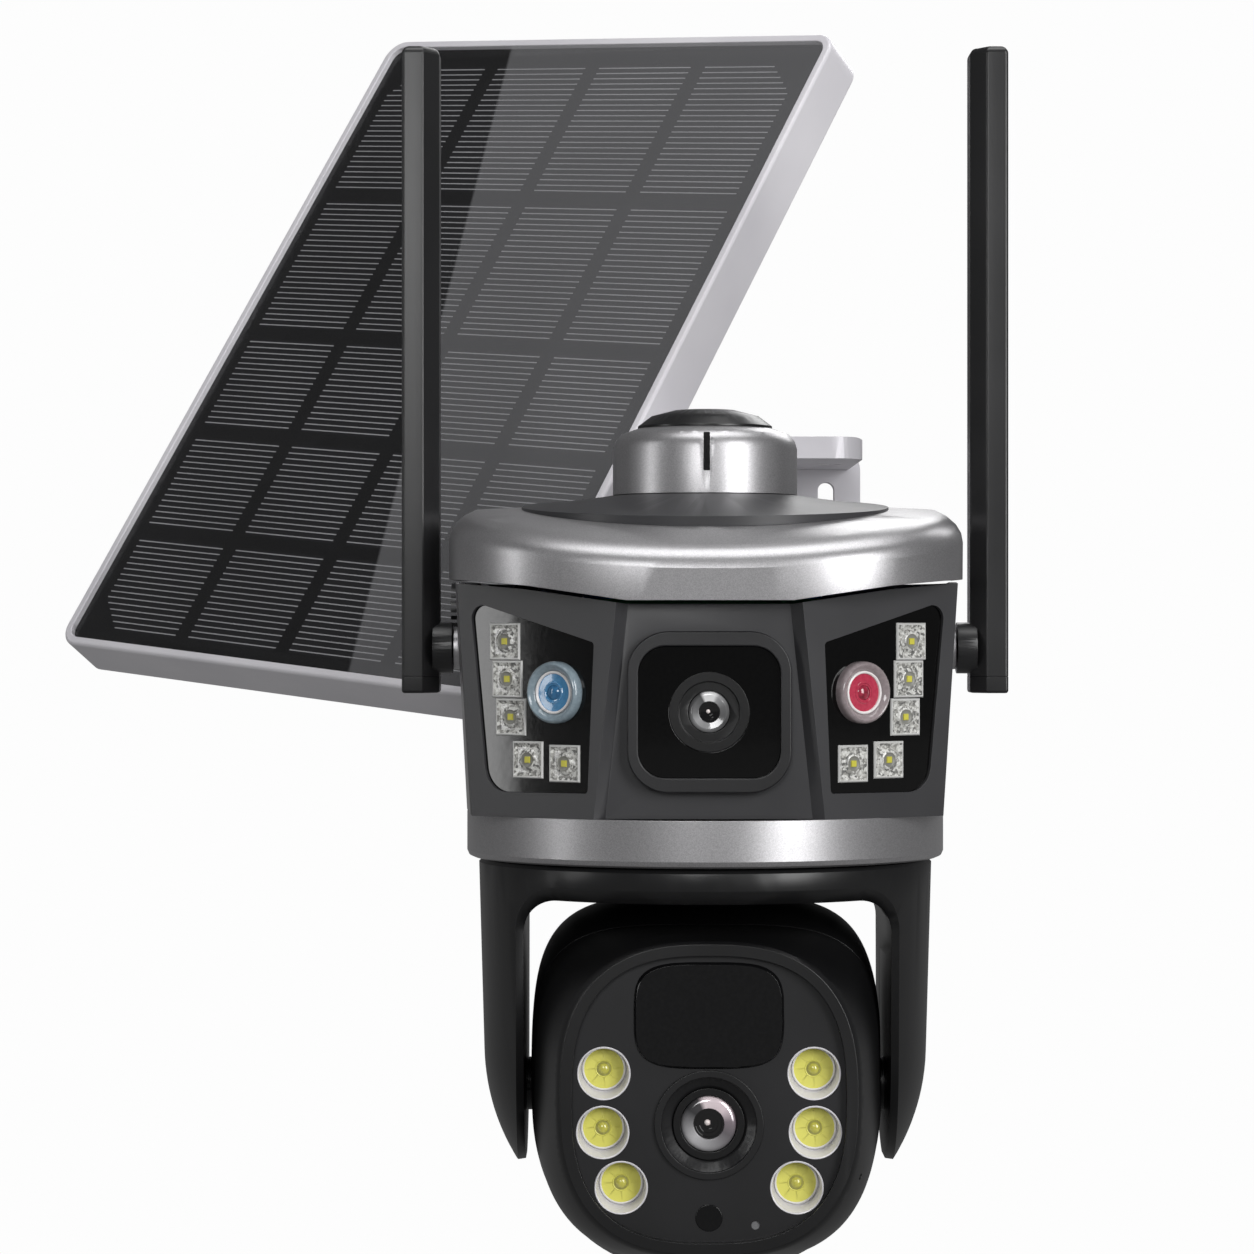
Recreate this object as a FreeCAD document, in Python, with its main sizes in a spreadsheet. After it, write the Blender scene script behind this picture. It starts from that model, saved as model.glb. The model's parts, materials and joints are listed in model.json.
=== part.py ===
"""Solar-powered security camera that hangs from a wall bracket.

A fixed head with one lens and two LED windows turns by hand under a collar. Below it a
yoke pans and a ball tilts. Two paddle antennas fold at the head's sides. A solar panel
stands behind on a three-axis arm that is bolted to the bracket's shelf.

Frame: +X right, +Y into the wall, +Z up. The origin is the centre of the wall plate's
back face. The pan axis is upright, at x = 0, y = -pan_reach.
"""
import FreeCAD, Part
import math
import os

import Sketcher
from FreeCAD import Placement, Rotation, Vector

# ------------------------------------------------------------------ driving dimensions
SIZES = dict(
    # wall bracket
    plate_width=130, plate_height=110, plate_thick=8, plate_corner=8,
    shelf_width=121, shelf_front=109, shelf_thick=7.8, shelf_corner=12,
    slot_width=6.2, slot_length=16, slot_spread=52, slot_rise=34.4,
    shelf_hole_radius=4.1, shelf_hole_spread=51, shelf_hole_out=56,
    beam_width=16, beam_height=14, beam_drop=10, pan_reach=309,
    # collar under the bracket's beam
    collar_drop=27.6, collar_radius=28, collar_height=20.2, collar_wall=3.2,
    collar_shoulder=6.4, ledge_rise=6, ledge_thick=3, cap_radius=20.4, cap_rise=6.1,
    mark_width=2.4, mark_depth=1.2, mark_height=13, spigot_radius=18, spigot_wall=3,
    retainer_overlap=3, retainer_thick=3, turn_gap=0.3,
    # silver visor and top cover
    visor_half_width=77.4, visor_front=72, visor_back=73, visor_squareness=2.8,
    visor_taper=7.2, visor_drop=9, visor_height=24.3, crown_tilt=4.5, visor_wall=2.6,
    shoulder_rise=6, shoulder_start=0.72, shoulder_turn=65, rim_rise=2.3, rim_ledge=3,
    cover_radius=55.6, cover_lift=4.3, cover_step=3, cover_well_radius=29,
    visor_dip=6.3, visor_flat=24, visor_mid=53, visor_mid_rise=4.3, visor_side_rise=6.6,
    # head
    head_drop=26, head_height=69.5, head_wall=2.6, head_half_width=76, head_back=72,
    head_taper=3.6, face_yaw=34, ridge_half_width=26, ridge_front=68.2, ridge_spread=7.4,
    face_outer_width=74, face_outer_taper=4.6, bevel_width=3.5, face_recess=4.5,
    face_recess_foot=1.8, face_split=28, seam=0.3, face_gap=1.0,
    # camera window in the middle of the face
    bezel_width=47.3, bezel_height=46.5, bezel_corner=12, bezel_proud=3.4,
    glass_width=41, glass_height=38, glass_corner=8, glass_inset=1.6, lens_drop=38.5,
    pane_thick=2, flange_radius=11.6, upper_barrel_radius=8.8, upper_barrel_length=18,
    upper_lens_radius=6.1,
    # LED windows at the sides of the face
    side_pane_inset=1.0, led_side=10.8, led_depth=4, lamp_radius=9.1, lamp_proud=3.2,
    # lower band and pan drive
    band_radius=72.2, band_height=13.8, band_floor=2.5, band_wall=2.5, hub_radius=29.5,
    hub_wall=3, running_gap=0.05, pan_module=1, pan_gear_teeth=80, pan_pinion_teeth=16,
    gear_width=5, backlash=0.3, motor_radius=14, motor_length=19, motor_offset=8,
    shaft_radius=2.5,
    # antennas
    hinge_drop=20.4, hinge_back=6, hinge_radius=3, hinge_length=7, hub_disc_radius=7.8,
    hub_disc_width=4, boss_gap=0.4, blade_out=80.9, blade_face=6.6, blade_width=11.2,
    blade_depth=17, blade_bevel=6, blade_rise=183, blade_fall=8.6, blade_cap_height=5.1,
    # inside the head
    cell_radius=9, cell_length=65, cell_pitch=19, cell_back=38,
    board_width=100, board_height=56, board_back=12, band_screw_radius=1.5,
    band_screw_head=2.8, floor_opening=56,
    speaker_radius=14, speaker_depth=7, speaker_set_in=18, grille_radius=8, grille_proud=3.4,
    button_radius=4, socket_radius=5.5, rear_fittings_rise=18,
    rear_fittings_spread=24,
    # yoke
    yoke_gap=0.6, yoke_radius=68.6, yoke_ceiling=10.1, yoke_inner=54.2, yoke_drop=90.5,
    yoke_corner=10, yoke_bevel=4, yoke_floor=2.6, arm_pocket=16, arm_pocket_depth=4.6,
    cover_plate=2.4,
    tilt_drop=58.6,
    # ball
    ball_radius=57, ball_half_width=52.4, ball_wall=2.5, ball_join=27, face_out=62,
    ball_crown_squareness=4, ball_foot_squareness=2.4,
    face_half_width=43.9, face_half_height=45.7, face_rise=2.2, face_squareness=2.6,
    rim_width=4.2, rim_chamfer=0.9, face_inset=2.6, face_gauge=2.4, board_out=50,
    board_gauge=1.6, sensor_radius=4.6, sensor_length=4.2,
    axle_radius=8, axle_wall=2.2, tilt_module=0.8, tilt_gear_teeth=36,
    tilt_pinion_teeth=16, tilt_gear_width=4, tilt_gear_out=41, tilt_motor_radius=10,
    tilt_motor_length=16, tilt_shaft_radius=2,
    pir_width=43.4, pir_height=30.8, pir_rise=26.3, pir_squareness=3.8, pir_proud=0.8,
    ball_lens_drop=5.3, ring_radius=15.8, ring_step=13.8, ring_throat=10.4,
    ball_lens_radius=8.2, lens_ring_proud=1,
    cup_radius=7.3, cup_depth=6.5, cup_wall=0.5, emitter_radius=5.6, emitter_gauge=1.2,
    light_sensor_radius=3.9, light_sensor_drop=32.2, mic_radius=1.3, mic_offset=13.5,
    mic_drop=34.4,
    # solar panel and its arm
    panel_width=213, panel_height=272, panel_thick=17, panel_lip=3.2, panel_corner=8,
    panel_rim=10, panel_x=-88, panel_out=139, panel_rise=86.4, panel_yaw=-37.7,
    panel_pitch=-33.2, panel_roll=5.8, laminate_gauge=3, glass_gauge=2, web_gauge=3,
    boss_radius=17, boss_height=12, plate_gauge=5, pivot_radius=4, pivot_length=9,
    joint_gap=0.1,
    knuckle_rise=24, eye_radius=9, eye_width=9, ear_gap=0.3, ear_width=4, bar_width=14,
    bar_thick=9, post_radius=8, foot_radius=13, foot_thick=4, bolt_radius=3.9,
    nut_width=14, nut_height=5, pin_radius=3, knob_radius=6, knob_width=5,
    junction_width=60, junction_height=36, junction_depth=7,
)

doc = FreeCAD.newDocument("wall_camera")
sheet = doc.addObject("Spreadsheet::Sheet", "dims")
for row, (alias, number) in enumerate(SIZES.items(), start=1):
    sheet.set(f"A{row}", alias)
    sheet.set(f"B{row}", str(number))
    sheet.setAlias(f"B{row}", alias)
doc.recompute()


class Size(float):
    """A number that remembers its formula, so that it can be bound to a property."""

    def __new__(cls, number, text=None):
        size = super().__new__(cls, number)
        size.text = text or f"({float(number)!r})"
        return size

    def __add__(self, other):
        return joined(self, "+", other, float(self) + float(other))

    def __radd__(self, other):
        return joined(other, "+", self, float(other) + float(self))

    def __sub__(self, other):
        return joined(self, "-", other, float(self) - float(other))

    def __rsub__(self, other):
        return joined(other, "-", self, float(other) - float(self))

    def __mul__(self, other):
        return joined(self, "*", other, float(self) * float(other))

    def __rmul__(self, other):
        return joined(other, "*", self, float(other) * float(self))

    def __truediv__(self, other):
        return joined(self, "/", other, float(self) / float(other))

    def __neg__(self):
        return Size(-float(self), f"(-{self.text})")


def formula(number):
    return number.text if isinstance(number, Size) else f"({float(number)!r})"


def joined(left, sign, right, number):
    return Size(number, f"({formula(left)} {sign} {formula(right)})")


class Sheet:
    """Reads the spreadsheet's cells by alias, each as a Size."""

    def __getattr__(self, alias):
        return Size(float(getattr(sheet, alias)), f"dims.{alias}")


s = Sheet()

# Heights, from the bracket down. Each is worked out from the one above it.
shelf_top = s.plate_height / 2
collar_bottom = shelf_top - s.collar_drop
collar_top = collar_bottom + s.collar_height
head_top = collar_bottom - s.head_drop
head_bottom = head_top - s.head_height
band_bottom = head_bottom - s.band_height
yoke_top = band_bottom - s.yoke_gap
ceiling = yoke_top - s.yoke_ceiling
tilt_axis = ceiling - s.tilt_drop
hinge_level = head_top - s.hinge_drop
lens_level = head_top - s.lens_drop
pan_y = -s.pan_reach

# ------------------------------------------------------------------ small tools
parts = []


def bind(thing, prop, number):
    thing.setExpression(prop, formula(number))


def place(thing, x=0, y=pan_y, z=0, rotation=None):
    thing.Placement = Placement(Vector(x, y, z), rotation or Rotation())
    for axis, number in zip("xyz", (x, y, z)):
        if isinstance(number, Size):
            bind(thing, "Placement.Base." + axis, number)
    return thing


def node(thing, label):
    """Name a finished sub-part, and list it for writing."""
    thing.Label = label
    parts.append(thing)
    return thing


def primitive(kind, sizes, x=0, y=pan_y, z=0, rotation=None):
    thing = doc.addObject("Part::" + kind, kind.lower())
    for prop, number in sizes.items():
        bind(thing, prop, number)
    return place(thing, x, y, z, rotation)


TO_Y = Rotation(Vector(1, 0, 0), -90)    # turns a primitive's axis from +Z to +Y
TO_X = Rotation(Vector(0, 1, 0), 90)     # turns it from +Z to +X


def cylinder(radius, height, x=0, y=pan_y, z=0, rotation=None):
    return primitive("Cylinder", dict(Radius=radius, Height=height), x, y, z, rotation)


def box(length, width, height, x, y, z):
    """A box centred on x and y, standing on z."""
    sizes = dict(Length=length, Width=width, Height=height)
    return primitive("Box", sizes, x - length / 2, y - width / 2, z)


def fuse(*things):
    joint = doc.addObject("Part::MultiFuse", "fused")
    joint.Shapes = list(things)
    return joint


def cut(base, *tools):
    result = doc.addObject("Part::Cut", "cut")
    result.Base = base
    result.Tool = tools[0] if len(tools) == 1 else fuse(*tools)
    return result


def group(things):
    """Separate solids that share one node."""
    together = doc.addObject("Part::Compound", "group")
    together.Links = list(things)
    return together


def shaped(shape, label, x=0, y=pan_y, z=0, rotation=None):
    """A sub-part whose outline no primitive or sketch gives."""
    moved, shape = shape.Placement.Matrix, shape.copy()
    shape.Placement = Placement()
    thing = doc.addObject("Part::Feature", label)
    thing.Shape = shape.transformed(moved, True)
    place(thing, x, y, z, rotation)
    return node(thing, label)


def new_body(label, x=0, y=pan_y, z=0, rotation=None):
    body = doc.addObject("PartDesign::Body", label)
    return place(body, x, y, z, rotation)


def new_sketch(body, role):
    """A sketch on one of the body's own origin planes."""
    sketch = body.newObject("Sketcher::SketchObject", "sketch")
    plane = next(p for p in body.Origin.OriginFeatures if p.Role == role)
    sketch.AttachmentSupport = [(plane, "")]
    sketch.MapMode = "FlatFace"
    return sketch


def pin_point(sketch, geometry, corner, x, y):
    """Hold a sketch point at x, y by formulas."""
    for kind, axis, number in (("DistanceX", -2, x), ("DistanceY", -1, y)):
        if float(number) == 0 and not isinstance(number, Size):
            sketch.addConstraint(Sketcher.Constraint("PointOnObject", geometry, corner, axis))
            continue
        rule = Sketcher.Constraint(kind, -1, 1, geometry, corner, float(number))
        index = sketch.addConstraint(rule)
        if isinstance(number, Size):
            sketch.setExpression(f"Constraints[{index}]", number.text)


def outline(sketch, points):
    """A closed outline of straight lines, every corner held by its own formulas."""
    first = sketch.GeometryCount
    ends = points[1:] + points[:1]
    for (ax, ay), (bx, by) in zip(points, ends):
        start = Vector(float(ax), float(ay), 0)
        sketch.addGeometry(Part.LineSegment(start, Vector(float(bx), float(by), 0)), False)
    for i in range(len(points)):
        after = first + (i + 1) % len(points)
        sketch.addConstraint(Sketcher.Constraint("Coincident", first + i, 2, after, 1))
    for i, (x, y) in enumerate(points):
        pin_point(sketch, first + i, 1, x, y)


def ring(sketch, radius, x=0, y=0):
    """A circle, its radius and centre held by formulas."""
    circle = Part.Circle(Vector(float(x), float(y), 0), Vector(0, 0, 1), float(radius))
    index = sketch.addGeometry(circle, False)
    rule = sketch.addConstraint(Sketcher.Constraint("Radius", index, float(radius)))
    if isinstance(radius, Size):
        sketch.setExpression(f"Constraints[{rule}]", radius.text)
    if float(x) == 0 and float(y) == 0:
        sketch.addConstraint(Sketcher.Constraint("Coincident", index, 3, -1, 1))
    else:
        pin_point(sketch, index, 3, x, y)


def pad(body, sketch, length, kind="Pad", reverse=False, both=False, through=False):
    feature = body.newObject("PartDesign::" + kind, kind.lower())
    feature.Profile = sketch
    feature.Reversed = reverse
    feature.Midplane = both
    if through:
        feature.Type = 1
    else:
        bind(feature, "Length", length)
    doc.recompute()
    return feature


def turn(body, points, role="XZ_Plane"):
    """Spin an outline of radius and height about the sketch's upright axis."""
    sketch = new_sketch(body, role)
    outline(sketch, points)
    feature = body.newObject("PartDesign::Revolution", "revolution")
    feature.Profile = sketch
    feature.ReferenceAxis = (sketch, ["V_Axis"])
    feature.Angle = 360
    doc.recompute()
    return feature


def round_edges(body, radius, wanted, kind="Fillet"):
    """Round or bevel the edges of a body that a test picks."""
    doc.recompute()
    base = body.Tip
    names = [f"Edge{i}" for i, edge in enumerate(base.Shape.Edges, start=1) if wanted(edge)]
    feature = body.newObject("PartDesign::" + kind, kind.lower())
    feature.Base = (base, names)
    bind(feature, "Radius" if kind == "Fillet" else "Size", radius)
    doc.recompute()
    return feature


def upright(edge):
    """A straight edge that runs along Z."""
    if edge.Curve.TypeId != "Part::GeomLine":
        return False
    along = edge.Vertexes[-1].Point - edge.Vertexes[0].Point
    return abs(along.z) > 0.99 * along.Length


def along_y(edge):
    """A straight edge that runs along Y."""
    if edge.Curve.TypeId != "Part::GeomLine":
        return False
    along = edge.Vertexes[-1].Point - edge.Vertexes[0].Point
    return abs(along.y) > 0.99 * along.Length


def superellipse(half_x, half_y, power, steps=48):
    """Points round |x/a|^n + |y/b|^n = 1."""
    points = []
    for i in range(steps):
        angle = 2 * math.pi * i / steps
        c, q = math.cos(angle), math.sin(angle)
        points.append((half_x * math.copysign(abs(c) ** (2 / power), c),
                       half_y * math.copysign(abs(q) ** (2 / power), q)))
    return points


def smooth_wire(points):
    """A closed smooth curve through points in space."""
    curve = Part.BSplineCurve()
    curve.interpolate(Points=[Vector(*p) for p in points], PeriodicFlag=True)
    return Part.Wire([curve.toShape()])


def rounded_polygon(corners, radii):
    """A closed wire of straight runs and arcs, in the XY plane."""
    edges = []
    count = len(corners)
    tangents = []
    for i in range(count):
        here = Vector(*corners[i], 0)
        before = Vector(*corners[i - 1], 0) - here
        after = Vector(*corners[(i + 1) % count], 0) - here
        before.normalize()
        after.normalize()
        half = before.getAngle(after) / 2
        reach = radii[i] / math.tan(half)
        middle = before + after
        middle.normalize()
        centre = here + middle * (radii[i] / math.sin(half))
        tangents.append((here + before * reach, centre - middle * radii[i], here + after * reach))
    for i in range(count):
        start, middle, end = tangents[i]
        edges.append(Part.Arc(start, middle, end).toShape())
        edges.append(Part.LineSegment(end, tangents[(i + 1) % count][0]).toShape())
    return Part.Wire(edges)


def slab(wire, thick):
    """A plate on a flat wire, thick along +Z."""
    return Part.Face(wire).extrude(Vector(0, 0, thick))


def rounded_box_wire(width, height, corner):
    a, b = width / 2, height / 2
    return rounded_polygon([(-a, -b), (a, -b), (a, b), (-a, b)], [corner] * 4)


def gear_wire(module, teeth, shift, gap):
    """The outline of an involute gear. shift is the angle of its first tooth's middle."""
    pitch = module * teeth / 2
    base = pitch * math.cos(math.radians(20))
    tip = pitch + 0.8 * module
    root = pitch - 1.05 * module
    half_tooth = math.pi / (2 * teeth) - gap / (2 * pitch)

    def spread(radius):
        """How far the flank has turned from the pitch point, at a radius."""
        def involute(r):
            pressure = math.acos(min(1, base / r))
            return math.tan(pressure) - pressure
        return involute(pitch) - involute(radius)

    points = []
    start = max(base, root)
    flank = [start + (tip - start) * i / 5 for i in range(6)]
    for tooth in range(teeth):
        middle = shift + 2 * math.pi * tooth / teeth
        left = [(r, middle - half_tooth - spread(r)) for r in flank]
        right = [(r, middle + half_tooth + spread(r)) for r in reversed(flank)]
        foot = half_tooth + spread(start)
        ends = [(root, middle - foot)], [(root, middle + foot)]
        points += ends[0] + left + right + ends[1]
    corners = [Vector(r * math.cos(a), r * math.sin(a), 0) for r, a in points]
    return Part.makePolygon(corners + corners[:1])


def gear(module, teeth, shift, gap, width, bore):
    """A spur gear standing on z = 0 with its axis along Z."""
    blank = slab(gear_wire(module, teeth, shift, gap), width)
    if bore:
        blank = blank.cut(Part.makeCylinder(bore, 3 * width, Vector(0, 0, -width)))
    return blank


# ------------------------------------------------------------------ wall bracket
def make_bracket():
    """Wall plate, shelf and beam, cast in one piece."""
    body = new_body("bracket", y=0)
    half_width, half_height = s.plate_width / 2, s.plate_height / 2
    plate = new_sketch(body, "XZ_Plane")
    outline(plate, [(-half_width, -half_height), (half_width, -half_height),
                    (half_width, half_height), (-half_width, half_height)])
    pad(body, plate, s.plate_thick)

    shelf = new_sketch(body, "YZ_Plane")
    under = half_height - s.shelf_thick
    outline(shelf, [(-s.shelf_front, under), (-s.plate_thick, under),
                    (-s.plate_thick, half_height), (-s.shelf_front, half_height)])
    pad(body, shelf, s.shelf_width, both=True)

    beam = new_sketch(body, "YZ_Plane")
    beam_top = half_height - s.beam_drop
    front = -s.pan_reach + s.collar_radius - s.collar_wall
    outline(beam, [(front, beam_top - s.beam_height), (-s.plate_thick, beam_top - s.beam_height),
                   (-s.plate_thick, under), (-s.shelf_front + s.shelf_corner, under),
                   (-s.shelf_front, beam_top), (front, beam_top)])
    pad(body, beam, s.beam_width, both=True)
    return body


def finish_bracket(body):
    """Slots for wall screws, holes through the shelf, and rounded corners."""
    def plate_corner(edge):
        at = edge.CenterOfMass
        return along_y(edge) and abs(abs(at.x) - s.plate_width / 2) < 0.1

    def shelf_corner(edge):
        at = edge.CenterOfMass
        return upright(edge) and abs(at.y + s.shelf_front) < 0.1 and abs(at.x) > s.beam_width

    round_edges(body, s.plate_corner, plate_corner)
    round_edges(body, s.shelf_corner, shelf_corner)
    slots = new_sketch(body, "XZ_Plane")
    reach = (s.slot_length - s.slot_width) / 2
    for side in (-1, 1):
        for level in (-1, 1):
            slot(slots, s.slot_spread * side, s.slot_rise * level, reach)
    pad(body, slots, None, kind="Pocket", reverse=True, both=True, through=True)
    holes = new_sketch(body, "XY_Plane")
    for side in (-1, 1):
        ring(holes, s.shelf_hole_radius, s.shelf_hole_spread * side, -s.shelf_hole_out)
    pad(body, holes, None, kind="Pocket", both=True, through=True)


def slot(sketch, x, z, reach):
    """An upright slot with round ends, centred on x, z."""
    half = float(s.slot_width) / 2
    first = sketch.GeometryCount
    top, foot = Vector(float(x), float(z) + reach, 0), Vector(float(x), float(z) - reach, 0)
    up = Vector(0, 0, 1)
    sketch.addGeometry(Part.ArcOfCircle(Part.Circle(top, up, half), 0, math.pi), False)
    sketch.addGeometry(Part.LineSegment(top - Vector(half, 0, 0), foot - Vector(half, 0, 0)), False)
    sketch.addGeometry(Part.ArcOfCircle(Part.Circle(foot, up, half), math.pi, 2 * math.pi), False)
    sketch.addGeometry(Part.LineSegment(foot + Vector(half, 0, 0), top + Vector(half, 0, 0)), False)
    for before, after, end, start in ((0, 1, 2, 1), (1, 2, 2, 1), (2, 3, 2, 1), (3, 0, 2, 1)):
        sketch.addConstraint(Sketcher.Constraint("Tangent", first + before, end, first + after, start))
    rule = sketch.addConstraint(Sketcher.Constraint("Radius", first, half))
    sketch.setExpression(f"Constraints[{rule}]", formula(s.slot_width / 2))
    pin_point(sketch, first, 3, x, z + reach)
    pin_point(sketch, first + 2, 3, x, z - reach)


def make_collar():
    """Silver collar with a ledge inside that the head hangs on, and its dark cap."""
    collar = new_body("turned_collar", z=collar_bottom)
    bore = s.collar_radius - s.collar_wall
    ledge = s.spigot_radius + s.turn_gap
    shoulder, wide = s.collar_shoulder, s.collar_radius - s.cap_radius
    turn(collar, [(bore, 0), (s.collar_radius, 0), (s.collar_radius, s.collar_height - shoulder),
                  (s.collar_radius - wide * 0.09, s.collar_height - shoulder * 0.62),
                  (s.collar_radius - wide * 0.33, s.collar_height - shoulder * 0.28),
                  (s.cap_radius, s.collar_height), (s.cap_radius, s.collar_height - s.collar_wall),
                  (bore, s.collar_height - s.collar_wall - 2), (bore, s.ledge_rise + s.ledge_thick),
                  (ledge, s.ledge_rise + s.ledge_thick), (ledge, s.ledge_rise),
                  (bore, s.ledge_rise)])
    mark_foot = collar_top - s.mark_height
    mark = box(s.mark_width, 2 * s.mark_depth, s.mark_height + 1, Size(0),
               pan_y - s.collar_radius, mark_foot)
    mark_end = cylinder(s.mark_width / 2, 2 * s.mark_depth, Size(0),
                        pan_y - s.collar_radius - s.mark_depth, mark_foot, TO_Y)
    notch = box(s.beam_width, 2 * s.collar_wall + 2, s.beam_height, Size(0),
                pan_y + s.collar_radius, shelf_top - s.beam_drop - s.beam_height)
    node(cut(collar, mark, mark_end, notch), "collar_ring")

    cap = new_body("collar_cap", z=collar_top)
    skin = 2.2
    turn(cap, [(0, s.cap_rise - skin), (0, s.cap_rise), (s.cap_radius * 0.45, s.cap_rise * 0.92),
               (s.cap_radius * 0.8, s.cap_rise * 0.62), (s.cap_radius, s.cap_rise * 0.12),
               (s.cap_radius, 0), (s.cap_radius * 0.78, s.cap_rise * 0.36),
               (s.cap_radius * 0.42, s.cap_rise * 0.58)])
    node(cap, "collar_cap")

    screws = []
    for side in (-1, 1):
        x, z = side * s.beam_width / 4, collar_bottom + s.collar_height / 2 + 1
        screws.append(cylinder(2, 1.6, x, pan_y + s.collar_radius - s.collar_wall - 1.6, z, TO_Y))
    node(group(screws), "collar_screws")


# ------------------------------------------------------------------ top of the head
def crown_wire(inset, taper, z, rise=0):
    """The visor's plan outline, squarer in front than behind. rise lifts it at the sides."""
    half = float(s.visor_half_width) - inset - taper
    front = superellipse(half, float(s.visor_front) - inset - taper, float(s.visor_squareness))
    back = superellipse(half, float(s.visor_back) - inset - taper, 2.2)
    points = [(bx, by) if by >= 0 else (fx, fy) for (fx, fy), (bx, by) in zip(front, back)]
    return smooth_wire([(x, y, z + rise * (x / half) ** 2) for x, y in points])


def cover_rim(inset, lift=0):
    """The edge where the top cover sits on the visor, higher at the sides than in front."""
    radius = float(s.cover_radius) - inset
    level = float(s.visor_height + s.cover_lift) + lift - inset
    return smooth_wire([(x, y, level + float(s.rim_rise) * (x / radius) ** 2)
                        for x, y in superellipse(radius, radius, 2)])


def disc_wire(radius, z):
    return Part.Wire([Part.Circle(Vector(0, 0, z), Vector(0, 0, 1), float(radius)).toShape()])


def solid_between(wires):
    """A solid ruled from outline to outline; the first and last ones are its flat ends."""
    faces = [Part.Face(wires[0]), Part.Face(wires[-1])]
    for low, high in zip(wires, wires[1:]):
        faces += Part.makeLoft([low, high], False, True).Faces
    skin = Part.makeShell(faces)
    skin.sewShape()
    solid = Part.makeSolid(skin)
    if solid.Volume < 0:
        solid.reverse()
    return solid


def crown_solid(inset):
    """The visor's outside, or its hollow when inset."""
    height, taper = float(s.visor_height) - inset, float(s.visor_taper)
    wall, turn_to = float(s.shoulder_start), math.radians(float(s.shoulder_turn))
    shares = [(0, 0), (wall, 0)]
    for i in range(1, 5):
        turned = turn_to * i / 4
        shares.append((wall + (1 - wall) * math.sin(turned) / math.sin(turn_to),
                       (1 - math.cos(turned)) / (1 - math.cos(turn_to))))
    walls = [crown_wire(inset, taper * t, height * h - (inset if h == 0 else 0),
                        float(s.shoulder_rise) * h) for h, t in shares]
    rim = cover_rim(inset)
    inner = disc_wire(float(s.cover_radius) - inset - float(s.rim_ledge),
                      height + float(s.cover_lift))
    return solid_between(walls + [rim, inner])


def tilted(shape):
    """Tip the crown forward about the head's middle."""
    return shape.rotated(Vector(0, 0, float(s.visor_drop)), Vector(1, 0, 0), float(s.crown_tilt))


def visor_edge(gap, z_far, deep):
    """A block whose top edge follows the visor's lower edge, seen from the front."""
    low = float(head_top) - float(s.visor_dip) - gap
    mid = low + float(s.visor_mid_rise)
    side = low + float(s.visor_side_rise)
    points = [(-90, side), (-s.visor_half_width, side), (-s.visor_mid, mid), (-s.visor_flat, low),
              (s.visor_flat, low), (s.visor_mid, mid), (s.visor_half_width, side), (90, side),
              (90, z_far), (-90, z_far)]
    corners = [Vector(float(x), -deep, float(z)) for x, z in points]
    face = Part.Face(Part.makePolygon(corners + corners[:1]))
    return face.extrude(Vector(0, deep, 0))


def make_visor():
    """Silver band round the head's top, swept down in front."""
    base = float(head_top - s.visor_drop)
    opening = Part.makeCylinder(float(s.cover_radius - s.rim_ledge), 90)
    visor = tilted(crown_solid(0).cut(crown_solid(float(s.visor_wall))).cut(opening))
    visor.translate(Vector(0, 0, base))
    behind = float(head_top - s.visor_dip + s.visor_side_rise)
    visor = visor.cut(visor_edge(0, base - 40, 120))
    visor = visor.cut(Part.makeBox(200, 120, 60, Vector(-100, 0, behind - 60)))
    shaped(visor, "visor")


def make_cover():
    """Dark cover on the visor, with the spigot that turns in the collar, and its retainer."""
    base = float(head_top - s.visor_drop)
    rim = float(s.visor_height + s.cover_lift)
    wall = float(s.visor_wall)
    well = float(collar_bottom - s.turn_gap)

    def crown_disc(radius, z):
        wire = tilted(disc_wire(radius, z))
        wire.translate(Vector(0, 0, base))
        return wire

    seat = tilted(cover_rim(0))
    seat.translate(Vector(0, 0, base))
    high = crown_disc(s.cover_radius, rim + float(s.cover_step))
    cover = solid_between([crown_disc(s.cover_radius - s.rim_ledge, rim), seat, high,
                           disc_wire(s.cover_well_radius, well)])
    under = [crown_disc(s.cover_radius - s.rim_ledge, rim - 1),
             disc_wire(s.cover_well_radius - 2, well - wall)]
    cover = cover.cut(Part.makeLoft(under, True, True))
    top = float(collar_bottom + s.ledge_rise + s.ledge_thick + s.turn_gap)
    bore = float(s.spigot_radius - s.spigot_wall)
    spigot = Part.makeCylinder(float(s.spigot_radius), top - well + wall, Vector(0, 0, well - wall))
    cover = cover.fuse(spigot).cut(Part.makeCylinder(bore, 80, Vector(0, 0, base)))
    shaped(cover.removeSplitter(), "top_cover")

    retainer = new_body("swivel_retainer", z=collar_bottom + s.ledge_rise + s.ledge_thick + s.turn_gap)
    inner, outer = s.spigot_radius - s.spigot_wall, s.spigot_radius + s.retainer_overlap
    turn(retainer, [(inner, 0), (outer, 0), (outer, s.retainer_thick), (inner, s.retainer_thick)])
    node(retainer, "swivel_retainer")


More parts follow.
